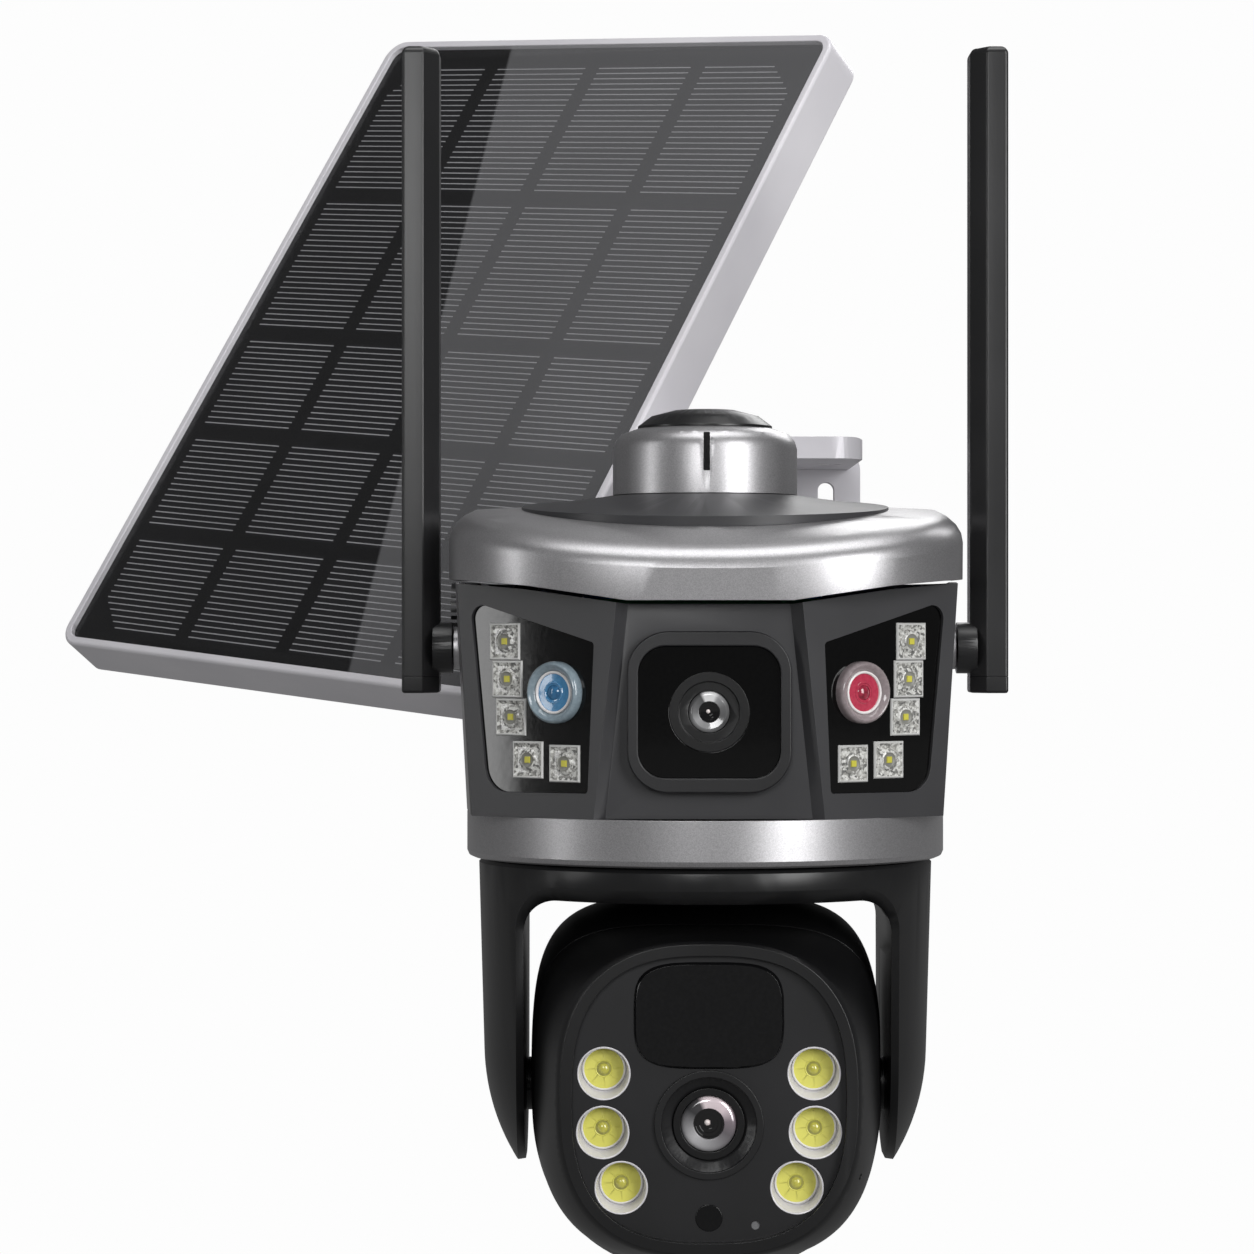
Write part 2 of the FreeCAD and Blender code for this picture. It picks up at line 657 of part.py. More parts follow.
# ------------------------------------------------------------------ head shells
def head_wire(z, share, inset):
    """The head's plan outline. share runs from 0 at its top to 1 at its foot."""
    slope = math.tan(math.radians(float(s.face_yaw)))
    ridge = float(s.ridge_half_width + s.ridge_spread * share)
    outer = float(s.face_outer_width - s.face_outer_taper * share) - inset
    ridge_y = -float(s.ridge_front) + (ridge - float(s.ridge_half_width)) * slope
    outer_y = ridge_y + (outer - ridge) * slope + inset * 1.2
    recess = float(s.face_recess) + (float(s.face_recess_foot) - float(s.face_recess)) * share
    flat = ridge - float(s.bevel_width) - inset * 0.3
    flat_y = ridge_y + recess + inset
    side = float(s.head_half_width - s.head_taper * share) - inset
    back = float(s.head_back - s.head_taper * share) - inset
    points = [(side, 2), (outer, outer_y), (ridge, ridge_y + inset * 1.3), (flat, flat_y),
              (-flat, flat_y), (-ridge, ridge_y + inset * 1.3), (-outer, outer_y), (-side, 2)]
    corners = [Vector(x, y, z) for x, y in points]
    edges = [Part.LineSegment(a, b).toShape() for a, b in zip(corners, corners[1:])]
    edges.append(Part.Arc(corners[-1], Vector(0, back, z), corners[0]).toShape())
    return Part.Wire(edges)


def head_solid(inset, floor):
    """The head's outside, or its hollow when inset, open at the top."""
    top, foot = float(head_top), float(head_bottom) + floor
    share = 1 - floor / float(s.head_height)
    over = 6 if inset else 0
    up = -over / float(s.head_height)
    return Part.makeLoft([head_wire(foot, share, inset), head_wire(top + over, up, inset)],
                         True, True)


def facet(shape, side):
    """Put a piece drawn flat on a side facet. side is 1 for the right, -1 for the left."""
    yaw = float(s.face_yaw)
    placed = shape.rotated(Vector(), Vector(1, 0, 0), 90).rotated(Vector(), Vector(0, 0, 1), yaw)
    reference = Vector(float(s.ridge_half_width), -float(s.ridge_front), float(head_top))
    placed.translate(reference)
    return placed if side > 0 else placed.mirror(Vector(), Vector(1, 0, 0))


# The window on a side facet, measured from the top of the ridge: along it, and up.
PANE_CORNERS = [(11.0, -62.1), (46.8, -62.3), (53.0, -6.2), (8.8, -18.5)]
PANE_RADII = [1.2, 8, 4, 1.2]
LED_PLACES = [(40.9, -18.2), (40.0, -29.2), (38.7, -40.3), (32.6, -52.7), (19.6, -53.6)]
LAMP_PLACE = (22.6, -33.0)


def pane_slab(thick, depth, shrink=0):
    """A plate with the window's outline, its front at depth behind the facet."""
    wire = rounded_polygon(PANE_CORNERS, PANE_RADII)
    if shrink:
        wire = wire.makeOffset2D(-shrink)
    plate = slab(wire, thick)
    plate.translate(Vector(0, 0, -depth - thick))
    return plate


def led_blocks():
    """Five square lens blocks, standing a little proud of the window."""
    side, depth = float(s.led_side), float(s.led_depth)
    front = 0.2 - float(s.side_pane_inset)
    return [Part.makeBox(side, side, depth, Vector(u - side / 2, v - side / 2, front - depth))
            for u, v in LED_PLACES]


def face_slab(width, height, corner, thick, front):
    """A rounded plate across the camera's line of sight, centred on the upper lens."""
    plate = slab(rounded_box_wire(float(width), float(height), float(corner)), float(thick))
    plate = plate.rotated(Vector(), Vector(1, 0, 0), 90)
    plate.translate(Vector(0, float(front) + float(thick), float(lens_level)))
    return plate


def forward_bar(radius, front, length, x=0, z=None):
    """A round bar along Y, from its front end backwards."""
    level = float(lens_level) if z is None else float(z)
    return Part.makeCylinder(float(radius), float(length), Vector(float(x), float(front), level),
                             Vector(0, 1, 0))


def make_head_shells():
    """Charcoal face with its windows cut out, and the rear shell with its fittings' holes."""
    shell = head_solid(0, 0).cut(head_solid(float(s.head_wall), float(s.head_wall)))
    floor = float(head_bottom)
    shell = shell.cut(Part.makeCylinder(float(s.floor_opening), 20, Vector(0, 0, floor - 5)))
    for x, y in band_screw_places():
        hole = Part.makeCylinder(float(s.band_screw_radius), float(s.head_wall),
                                 Vector(float(x), float(y - pan_y), floor))
        shell = shell.cut(hole)
    split = -float(s.face_split)
    gap = float(s.seam) / 2
    top_cut = visor_edge(float(s.face_gap), float(head_top) + 40, 120)
    face = shell.common(Part.makeBox(200, 120, 200, Vector(-100, split - gap - 120, -150)))
    face = face.cut(top_cut)
    for side in (-1, 1):
        face = face.cut(facet(pane_slab(12, -6), side))
    bezel_seat = face_slab(s.bezel_width, s.bezel_height, s.bezel_corner, 12,
                           facet_at_lens() - 8)
    face = face.cut(bezel_seat)
    shaped(face, "face_shell")

    rear = shell.common(Part.makeBox(200, 140, 200, Vector(-100, split + gap, -150)))
    visor_seat = float(head_top - s.visor_dip + s.visor_side_rise - s.face_gap)
    rear = rear.cut(Part.makeBox(200, 200, 60, Vector(-100, split - 1, visor_seat)))
    boss_out = float(s.blade_out - s.hub_disc_width - s.boss_gap)
    for side in (-1, 1):
        level = Vector(side * (boss_out - 8), float(s.hinge_back), float(hinge_level))
        boss = Part.makeCylinder(6.5, 8, level, Vector(side, 0, 0))
        rear = rear.fuse(boss).cut(Part.makeCylinder(float(s.hinge_radius + s.running_gap), 40,
                                                     level - Vector(side * 10, 0, 0),
                                                     Vector(side, 0, 0)))
    rise = float(head_bottom + s.rear_fittings_rise)
    spread = float(s.rear_fittings_spread)
    rear = rear.cut(forward_bar(s.button_radius + 0.3, 40, 60, spread, rise))
    rear = rear.cut(forward_bar(s.socket_radius, 40, 60, -spread, rise))
    grille_at = Vector(-90, float(s.hinge_back) + 18, float(hinge_level) + 12)
    rear = rear.cut(Part.makeCylinder(float(s.grille_radius), 30, grille_at, Vector(1, 0, 0)))
    shaped(rear.removeSplitter(), "rear_shell")


def facet_at_lens():
    """How far forward the middle facet is at the upper lens, as a place along Y."""
    share = float(s.lens_drop) / float(s.head_height)
    slope = math.tan(math.radians(float(s.face_yaw)))
    recess = float(s.face_recess) + (float(s.face_recess_foot) - float(s.face_recess)) * share
    return -float(s.ridge_front) + float(s.ridge_spread) * share * slope + recess


def make_face_windows():
    """The camera window in the middle, and the LED window on each side."""
    front = facet_at_lens() - float(s.bezel_proud)
    seat = float(s.bezel_proud) + 2.2
    bezel = face_slab(s.bezel_width, s.bezel_height, s.bezel_corner, seat, front)
    bezel = bezel.cut(face_slab(s.glass_width, s.glass_height, s.glass_corner, 40, front - 10))
    shaped(bezel, "lens_bezel")

    glass_front = front + float(s.glass_inset)
    glass = face_slab(s.glass_width, s.glass_height, s.glass_corner, s.pane_thick, glass_front)
    glass = glass.cut(forward_bar(s.flange_radius, glass_front - 5, 20))
    shaped(glass, "lens_window")

    barrel = forward_bar(s.flange_radius, glass_front, s.pane_thick)
    barrel = barrel.fuse(forward_bar(s.upper_barrel_radius, glass_front, s.upper_barrel_length))
    barrel = barrel.cut(forward_bar(s.upper_barrel_radius, glass_front - 1, 2.0))
    barrel = barrel.cut(forward_bar(s.upper_lens_radius, glass_front - 1, 8))
    barrel = barrel.cut(forward_bar(s.upper_lens_radius - 1.6, glass_front - 1,
                                    s.upper_barrel_length + 2))
    shaped(barrel, "upper_lens_barrel")

    shaped(lens_dome(s.upper_lens_radius, 1.6, glass_front + 2.6, 4.4, lens_level),
           "upper_lens_glass")
    board = Part.makeBox(38, 1.6, 38, Vector(-19, glass_front + float(s.upper_barrel_length),
                                             float(lens_level) - 19))
    shaped(board, "upper_sensor_board")

    lamp_bore = Part.makeCylinder(float(s.lamp_radius), 20, Vector(*LAMP_PLACE, -10))
    pane = pane_slab(float(s.pane_thick), float(s.side_pane_inset)).cut(lamp_bore)
    for block in led_blocks():
        pane = pane.cut(block)
    lamp = make_lamp()
    board = pane_slab(1.6, float(s.side_pane_inset) + float(s.led_depth) - 0.2, shrink=2)
    lenses, boards = [], []
    for name, side in (("left", -1), ("right", 1)):
        shaped(facet(pane, side), f"{name}_window")
        shaped(facet(lamp, side), f"{name}_warning_lamp")
        lenses += [facet(block, side) for block in led_blocks()]
        boards.append(facet(board, side))
    shaped(Part.makeCompound(lenses), "side_led_lenses")
    shaped(Part.makeCompound(boards), "side_led_boards")


def lens_dome(radius, bulge, front, thick, level):
    """A lens: a round plate along Y with a domed front."""
    radius, bulge = float(radius), float(bulge)
    globe = (radius ** 2 + bulge ** 2) / (2 * bulge)
    ball = Part.makeSphere(globe, Vector(0, front + globe - bulge, float(level)))
    return ball.common(forward_bar(radius, front - bulge, thick, z=level))


def make_lamp():
    """A warning lamp: a short tube with a domed lens, drawn flat."""
    radius, proud = float(s.lamp_radius), float(s.lamp_proud)
    back = -float(s.side_pane_inset) - float(s.pane_thick)
    tube = Part.makeCylinder(radius, proud - 1.2 - back, Vector(*LAMP_PLACE, back))
    crown = Part.makeCone(radius, radius - 1.6, 1.2, Vector(*LAMP_PLACE, proud - 1.2))
    return tube.fuse(crown).removeSplitter()


# ------------------------------------------------------------------ band, drive, insides
def make_band():
    band = new_body("turned_band", z=band_bottom)
    inner = s.band_radius - s.band_wall
    lip = s.hub_radius + s.running_gap
    turn(band, [(lip, 0), (s.band_radius - 2, 0), (s.band_radius - 0.6, 0.6), (s.band_radius, 2),
                (s.band_radius, s.band_height), (inner, s.band_height), (inner, s.band_floor),
                (lip, s.band_floor)])
    holes = [cylinder(s.band_screw_radius, s.band_floor, x, y, band_bottom)
             for x, y in band_screw_places()]
    wells = [cylinder(s.band_screw_head, s.band_floor / 2, x, y, band_bottom)
             for x, y in band_screw_places()]
    node(cut(band, *holes, *wells), "lower_band")

    screws = []
    for x, y in band_screw_places():
        head = cylinder(s.band_screw_head, s.band_floor / 2, x, y, band_bottom)
        reach = s.band_height + s.head_wall
        screws.append(fuse(head, cylinder(s.band_screw_radius, reach, x, y, band_bottom)))
    node(group(screws), "band_screws")


def band_screw_places():
    """Four screws on a circle in the band's floor."""
    radius = s.band_radius - 9
    turns = [math.pi / 4 + i * math.pi / 2 for i in range(4)]
    return [(radius * math.cos(a), pan_y + radius * math.sin(a)) for a in turns]


def make_pan_drive():
    """Gear on the yoke's hub, its pinion, and the motor that turns it."""
    level = band_bottom + s.band_floor + s.turn_gap
    module, gap = float(s.pan_module), float(s.backlash)
    teeth, small = int(s.pan_gear_teeth), int(s.pan_pinion_teeth)
    wheel = gear(module, teeth, math.pi / 2, gap, float(s.gear_width), float(s.hub_radius))
    shaped(wheel, "pan_gear", z=level)
    centre = s.pan_module * (s.pan_gear_teeth + s.pan_pinion_teeth) / 2
    pinion = gear(module, small, -math.pi / 2 + math.pi / small, gap, float(s.gear_width), 0)
    shaft = Part.makeCylinder(float(s.shaft_radius), 8, Vector(0, 0, float(s.gear_width)))
    shaped(pinion.fuse(shaft), "pan_pinion", y=pan_y + centre, z=level)
    foot = level + s.gear_width + 2
    motor = cylinder(s.motor_radius, s.motor_length, y=pan_y + centre - s.motor_offset, z=foot)
    bore = cylinder(s.shaft_radius + s.running_gap, 8, y=pan_y + centre, z=foot - 1)
    node(cut(motor, bore), "pan_motor")


def make_head_insides():
    """Battery, boards, speaker, power button and charging socket."""
    cells = []
    base = head_bottom + 18
    for i in range(4):
        x = s.cell_pitch * (i - 1.5)
        cells.append(cylinder(s.cell_radius, s.cell_length, x, pan_y + s.cell_back, base))
    node(group(cells), "battery_cells")
    node(box(s.board_width, s.board_gauge, s.board_height, Size(0), pan_y - s.board_back,
             head_bottom + 8), "main_board")

    side = -s.head_half_width + 7
    grille_y, grille_z = pan_y + s.hinge_back + 18, hinge_level + 12
    speaker = cylinder(s.speaker_radius, s.speaker_depth, s.speaker_set_in - s.head_half_width, grille_y,
                       grille_z, TO_X)
    node(speaker, "speaker")
    face_x = -s.head_half_width - s.grille_proud + 1.4
    plug = cylinder(s.grille_radius, side - face_x, face_x, grille_y, grille_z, TO_X)
    slots = [box(Size(4.4), 2 * s.grille_radius + 2, Size(1.0), face_x, grille_y,
                 grille_z - 6.5 + 2.2 * i) for i in range(6)]
    node(cut(plug, *slots), "speaker_grille")

    rise = head_bottom + s.rear_fittings_rise
    outside = pan_y + s.head_back - 12
    cap = cylinder(s.button_radius, 7, s.rear_fittings_spread, outside, rise, TO_Y)
    flange = cylinder(s.button_radius + 1.2, 1.2, s.rear_fittings_spread, outside - 1.2, rise, TO_Y)
    node(fuse(cap, flange), "power_button")
    socket = cylinder(s.socket_radius, 9, -s.rear_fittings_spread, outside - 2, rise, TO_Y)
    bore = cylinder(s.socket_radius - 1.8, 7, -s.rear_fittings_spread, outside + 1, rise, TO_Y)
    node(cut(socket, bore), "charging_socket")


# ------------------------------------------------------------------ antennas
def make_antenna(name, side):
    """A flat paddle with a bevelled inner edge, its hinge disc and pin, and its end cap."""
    inner, outer = float(s.blade_out), float(s.blade_out + s.blade_width)
    half = float(s.blade_depth) / 2
    front_inner = outer - float(s.blade_face)
    section = [(inner, half), (outer, half), (outer, -half), (front_inner, -half),
               (inner, -half + float(s.blade_bevel))]
    corners = [Vector(side * x, y, 0) for x, y in section]
    wire = Part.makePolygon(corners + corners[:1])
    rise, fall = float(s.blade_rise), float(s.blade_fall)
    blade = Part.Face(wire).extrude(Vector(0, 0, rise + fall))
    blade.translate(Vector(0, 0, -fall))
    top = [e for e in blade.Edges if abs(e.CenterOfMass.z - rise) < 0.01]
    long = [e for e in blade.Edges if abs(e.CenterOfMass.z - (rise - fall) / 2) < 0.01]
    blade = blade.makeFillet(1.0, long)
    top = [e for e in blade.Edges if abs(e.CenterOfMass.z - rise) < 0.01]
    blade = blade.makeFillet(2.4, top)
    disc_in = float(s.blade_out - s.hub_disc_width)
    disc = Part.makeCylinder(float(s.hub_disc_radius), float(s.hub_disc_width) + 2,
                             Vector(side * disc_in, 0, 0), Vector(side, 0, 0))
    pin = Part.makeCylinder(float(s.hinge_radius), float(s.hinge_length) + 4,
                            Vector(side * (disc_in - float(s.hinge_length)), 0, 0),
                            Vector(side, 0, 0))
    y = pan_y + s.hinge_back
    shaped(blade.fuse(disc).fuse(pin).removeSplitter(), f"{name}_antenna", y=y, z=hinge_level)
    cap = Part.Face(wire).extrude(Vector(0, 0, float(s.blade_cap_height)))
    cap.translate(Vector(0, 0, -fall - float(s.blade_cap_height)))
    foot = [e for e in cap.Edges if abs(e.CenterOfMass.z + fall) > 0.01]
    cap = cap.makeFillet(0.9, foot)
    shaped(cap, f"{name}_antenna_cap", y=y, z=hinge_level)


# ------------------------------------------------------------------ yoke
def make_yoke():
    """The panning yoke: a round top with two arms, hollowed for its hub and wiring."""
    drop, radius = float(s.yoke_drop), float(s.yoke_radius)
    bend = Vector(radius - 1.6, 0, -drop * 0.64)
    foot = Vector(radius - 11.2, 0, -drop)
    middle = Vector(radius - 4.6, 0, -drop * 0.84)
    edges = [Part.LineSegment(Vector(0, 0, 0), Vector(radius - 1, 0, 0)).toShape(),
             Part.LineSegment(Vector(radius - 1, 0, 0), Vector(radius, 0, -1)).toShape(),
             Part.LineSegment(Vector(radius, 0, -1), bend).toShape(),
             Part.Arc(bend, middle, foot).toShape(),
             Part.LineSegment(foot, Vector(0, 0, -drop)).toShape(),
             Part.LineSegment(Vector(0, 0, -drop), Vector(0, 0, 0)).toShape()]
    yoke = Part.Face(Part.Wire(edges)).revolve(Vector(), Vector(0, 0, 1), 360)
    gap_wire = rounded_polygon(
        [(-s.yoke_inner, -200), (s.yoke_inner, -200), (s.yoke_inner, -s.yoke_ceiling),
         (-s.yoke_inner, -s.yoke_ceiling)], [1, 1, float(s.yoke_corner), float(s.yoke_corner)])
    opening = slab(gap_wire, 200).rotated(Vector(), Vector(1, 0, 0), 90)
    opening.translate(Vector(0, 100, 0))
    yoke = yoke.cut(opening)

    cheek = rounded_polygon([(-43, -drop), (43, -drop), (43, 5), (-43, 5)], [26, 26, 1, 1])
    trim = slab(cheek, 200).rotated(Vector(), Vector(1, 0, 0), 90)
    trim = trim.rotated(Vector(), Vector(0, 0, 1), 90)
    trim.translate(Vector(-100, 0, 0))
    low = Part.makeBox(200, 200, drop - float(s.yoke_ceiling) - 12,
                       Vector(-100, -100, -drop))
    yoke = yoke.cut(low.cut(trim))

    rim = [edge for edge in yoke.Edges if on_opening(edge)]
    return yoke.makeChamfer(float(s.yoke_bevel), rim)


def on_opening(edge):
    """An edge of the yoke's opening, in front or behind."""
    def on_gap(v):
        return abs(abs(v.X) - s.yoke_inner) < 0.05 or abs(v.Z + s.yoke_ceiling) < 0.05

    at = edge.CenterOfMass
    return all(on_gap(v) for v in edge.Vertexes) and abs(at.y) > 20 and at.z < 0.5 - s.yoke_ceiling


def finish_yoke(yoke):
    """Hollow the top, add the hub, and pocket each arm behind its cover plate."""
    radius, wall = float(s.yoke_radius), float(s.yoke_floor)
    deep = float(s.yoke_ceiling) - wall
    hub = float(s.hub_radius)
    hollow = Part.makeCylinder(radius - 6, deep + 1, Vector(0, 0, -deep))
    hollow = hollow.cut(Part.makeCylinder(hub, 60, Vector(0, 0, -30)))
    yoke = yoke.cut(hollow)
    rise = float(s.yoke_gap + s.band_floor + s.turn_gap + s.gear_width)
    tube = Part.makeCylinder(hub, rise + 1, Vector(0, 0, -1))
    yoke = yoke.fuse(tube)
    yoke = yoke.cut(Part.makeCylinder(hub - float(s.hub_wall), 60, Vector(0, 0, -deep)))
    axis = -float(s.yoke_ceiling + s.tilt_drop)
    for side in (-1, 1):
        yoke = yoke.cut(arm_block(side, float(s.arm_pocket_depth), axis))
    shaped(yoke.removeSplitter(), "yoke_shell", z=yoke_top)


def arm_block(side, depth, axis):
    """The pocket in one arm, or with a small depth the plate that covers it."""
    half, inner = float(s.arm_pocket), float(s.yoke_inner)
    start = inner if side > 0 else -inner - depth
    below = float(s.axle_radius) + 1.5
    return Part.makeBox(depth, 2 * half, 40 + below, Vector(start, -half, axis - below))


def make_axle_plates():
    """Cover plates of the arms, each with the hollow axle that carries the ball."""
    axis = -float(s.yoke_ceiling + s.tilt_drop)
    radius, wall = float(s.axle_radius), float(s.axle_wall)
    plates = []
    for side in (-1, 1):
        plate = arm_block(side, float(s.cover_plate), axis)
        inner_end = float(s.tilt_gear_out) - 1.5 if side > 0 else float(s.ball_half_width) - 7
        start = Vector(side * inner_end, 0, axis)
        length = float(s.yoke_inner) - inner_end + 1
        axle = Part.makeCylinder(radius, length, start, Vector(side, 0, 0))
        bore = Part.makeCylinder(radius - wall, 60, start - Vector(side * 5, 0, 0),
                                 Vector(side, 0, 0))
        plates.append(plate.fuse(axle).cut(bore))
    shaped(Part.makeCompound(plates), "axle_plates", z=yoke_top)


def make_tilt_drive():
    """Fixed gear on the right axle, and the motor and pinion in the ball that walk round it."""
    module, gap, width = float(s.tilt_module), float(s.backlash) * 0.8, float(s.tilt_gear_width)
    teeth, small = int(s.tilt_gear_teeth), int(s.tilt_pinion_teeth)
    out = s.tilt_gear_out
    wheel = gear(module, teeth, math.pi / 2, gap, width, float(s.axle_radius))
    shaped(wheel, "tilt_gear", x=out, z=tilt_axis, rotation=TO_X)
    centre = s.tilt_module * (s.tilt_gear_teeth + s.tilt_pinion_teeth) / 2
    pinion = gear(module, small, -math.pi / 2 + math.pi / small, gap, width, 0)
    shaft = Part.makeCylinder(float(s.tilt_shaft_radius), 7, Vector(0, 0, -7))
    shaped(pinion.fuse(shaft), "tilt_pinion", x=out, y=pan_y + centre, z=tilt_axis, rotation=TO_X)
    start = out - 2 - s.tilt_motor_length
    motor = cylinder(s.tilt_motor_radius, s.tilt_motor_length, start, pan_y + centre, tilt_axis, TO_X)
    bore = cylinder(s.tilt_shaft_radius + s.running_gap, 8, out - 8, pan_y + centre, tilt_axis,
                    TO_X)
    node(cut(motor, bore), "tilt_motor")


# ------------------------------------------------------------------ ball
def ball_wire(out, half_x, half_z, power, rise):
    """An upright outline across the ball's front, at a distance out from the tilt axis."""
    points = superellipse(half_x, half_z, power, 40)
    return smooth_wire([(x, -out, z + rise) for x, z in points])


def body_wire(out, inset):
    """The ball's outline across at a distance out: square at the top, rounder at its foot."""
    radius, half = float(s.ball_radius) - inset, float(s.ball_half_width) - inset
    half_z = math.sqrt(radius ** 2 - out ** 2)
    half_x = half * (1 - (out / radius) ** 4) ** 0.25
    crown = superellipse(half_x, half_z, float(s.ball_crown_squareness), 40)
    foot = superellipse(half_x, half_z, float(s.ball_foot_squareness), 40)
    points = [upper if upper[1] >= 0 else lower for upper, lower in zip(crown, foot)]
    return smooth_wire([(x, -out, z) for x, z in points])


def ball_plug(inset, start, end):
    """The ball's front outside, or its hollow when inset."""
    join, out = float(s.ball_join), float(s.face_out)
    half_x, half_z = float(s.face_half_width) - inset, float(s.face_half_height) - inset
    rise, power = float(s.face_rise), float(s.face_squareness)
    middle = join + (out - join) * 0.54
    return Part.makeLoft([body_wire(start, inset),
                          ball_wire(middle, half_x + 4.6, half_z + 2.9, power + 0.3, rise * 0.55),
                          ball_wire(end, half_x, half_z, power, rise)], True, False)


def ball_back(inset):
    """The ball's rear outside, or its hollow when inset: outlines at even angles."""
    radius = float(s.ball_radius) - inset
    first = math.degrees(math.asin((float(s.ball_join) + (1 if inset else 0)) / radius))
    steps = 8
    angles = [first - (first + 74) * i / steps for i in range(steps + 1)]
    return Part.makeLoft([body_wire(radius * math.sin(math.radians(a)), inset) for a in angles],
                         True, False)


def opening_block(front, back, shrink=0):
    """A block that fills the ball's front opening between two distances from the axis."""
    half_x = float(s.face_half_width - s.rim_width) - shrink
    half_z = float(s.face_half_height - s.rim_width) - shrink
    wire = ball_wire(front, half_x, half_z, float(s.face_squareness) + 0.1, float(s.face_rise))
    return Part.Face(wire).extrude(Vector(0, front - back, 0))


def make_ball_shells():
    """Two half shells of the ball, parted in front of its axle."""
    wall, join, out = float(s.ball_wall), float(s.ball_join), float(s.face_out)
    seam = float(s.seam) / 2
    rear = ball_back(0).cut(ball_back(wall))
    rear = rear.common(Part.makeBox(200, 200, 200, Vector(-100, seam - join, -100)))
    axle = Part.makeCylinder(float(s.axle_radius + s.running_gap), 200, Vector(-100, 0, 0),
                             Vector(1, 0, 0))
    shaped(rear.cut(axle), "ball_rear_shell", z=tilt_axis)

    rim = out - float(s.rim_chamfer)
    front = ball_plug(0, join + seam, rim)
    lip = float(s.rim_chamfer)
    half_x, half_z = float(s.face_half_width), float(s.face_half_height)
    rise, power = float(s.face_rise), float(s.face_squareness)
    bevel = Part.makeLoft([ball_wire(rim, half_x, half_z, power, rise),
                           ball_wire(out, half_x - lip, half_z - lip, power, rise)], True, True)
    front = front.fuse(bevel)
    back = out - float(s.face_inset + s.face_gauge)
    front = front.cut(ball_plug(wall, join - 1, back)).cut(opening_block(out + 1, back - 1))
    pinhole = Part.makeCylinder(0.9, 20, Vector(35, 8 - out, -21), Vector(1, 0, 0))
    shaped(front.cut(pinhole), "ball_front_shell", z=tilt_axis)


# Places on the ball's face, measured from the tilt axis.
CUP_PLACES = [(30.4, 9.5), (30.75, -7.55), (25.4, -23.5)]


def window_block(front, back, shrink=0):
    """A block with the motion window's outline."""
    half_x, half_z = float(s.pir_width) / 2 - shrink, float(s.pir_height) / 2 - shrink
    wire = ball_wire(front, half_x, half_z, float(s.pir_squareness), float(s.pir_rise))
    return Part.Face(wire).extrude(Vector(0, front - back, 0))


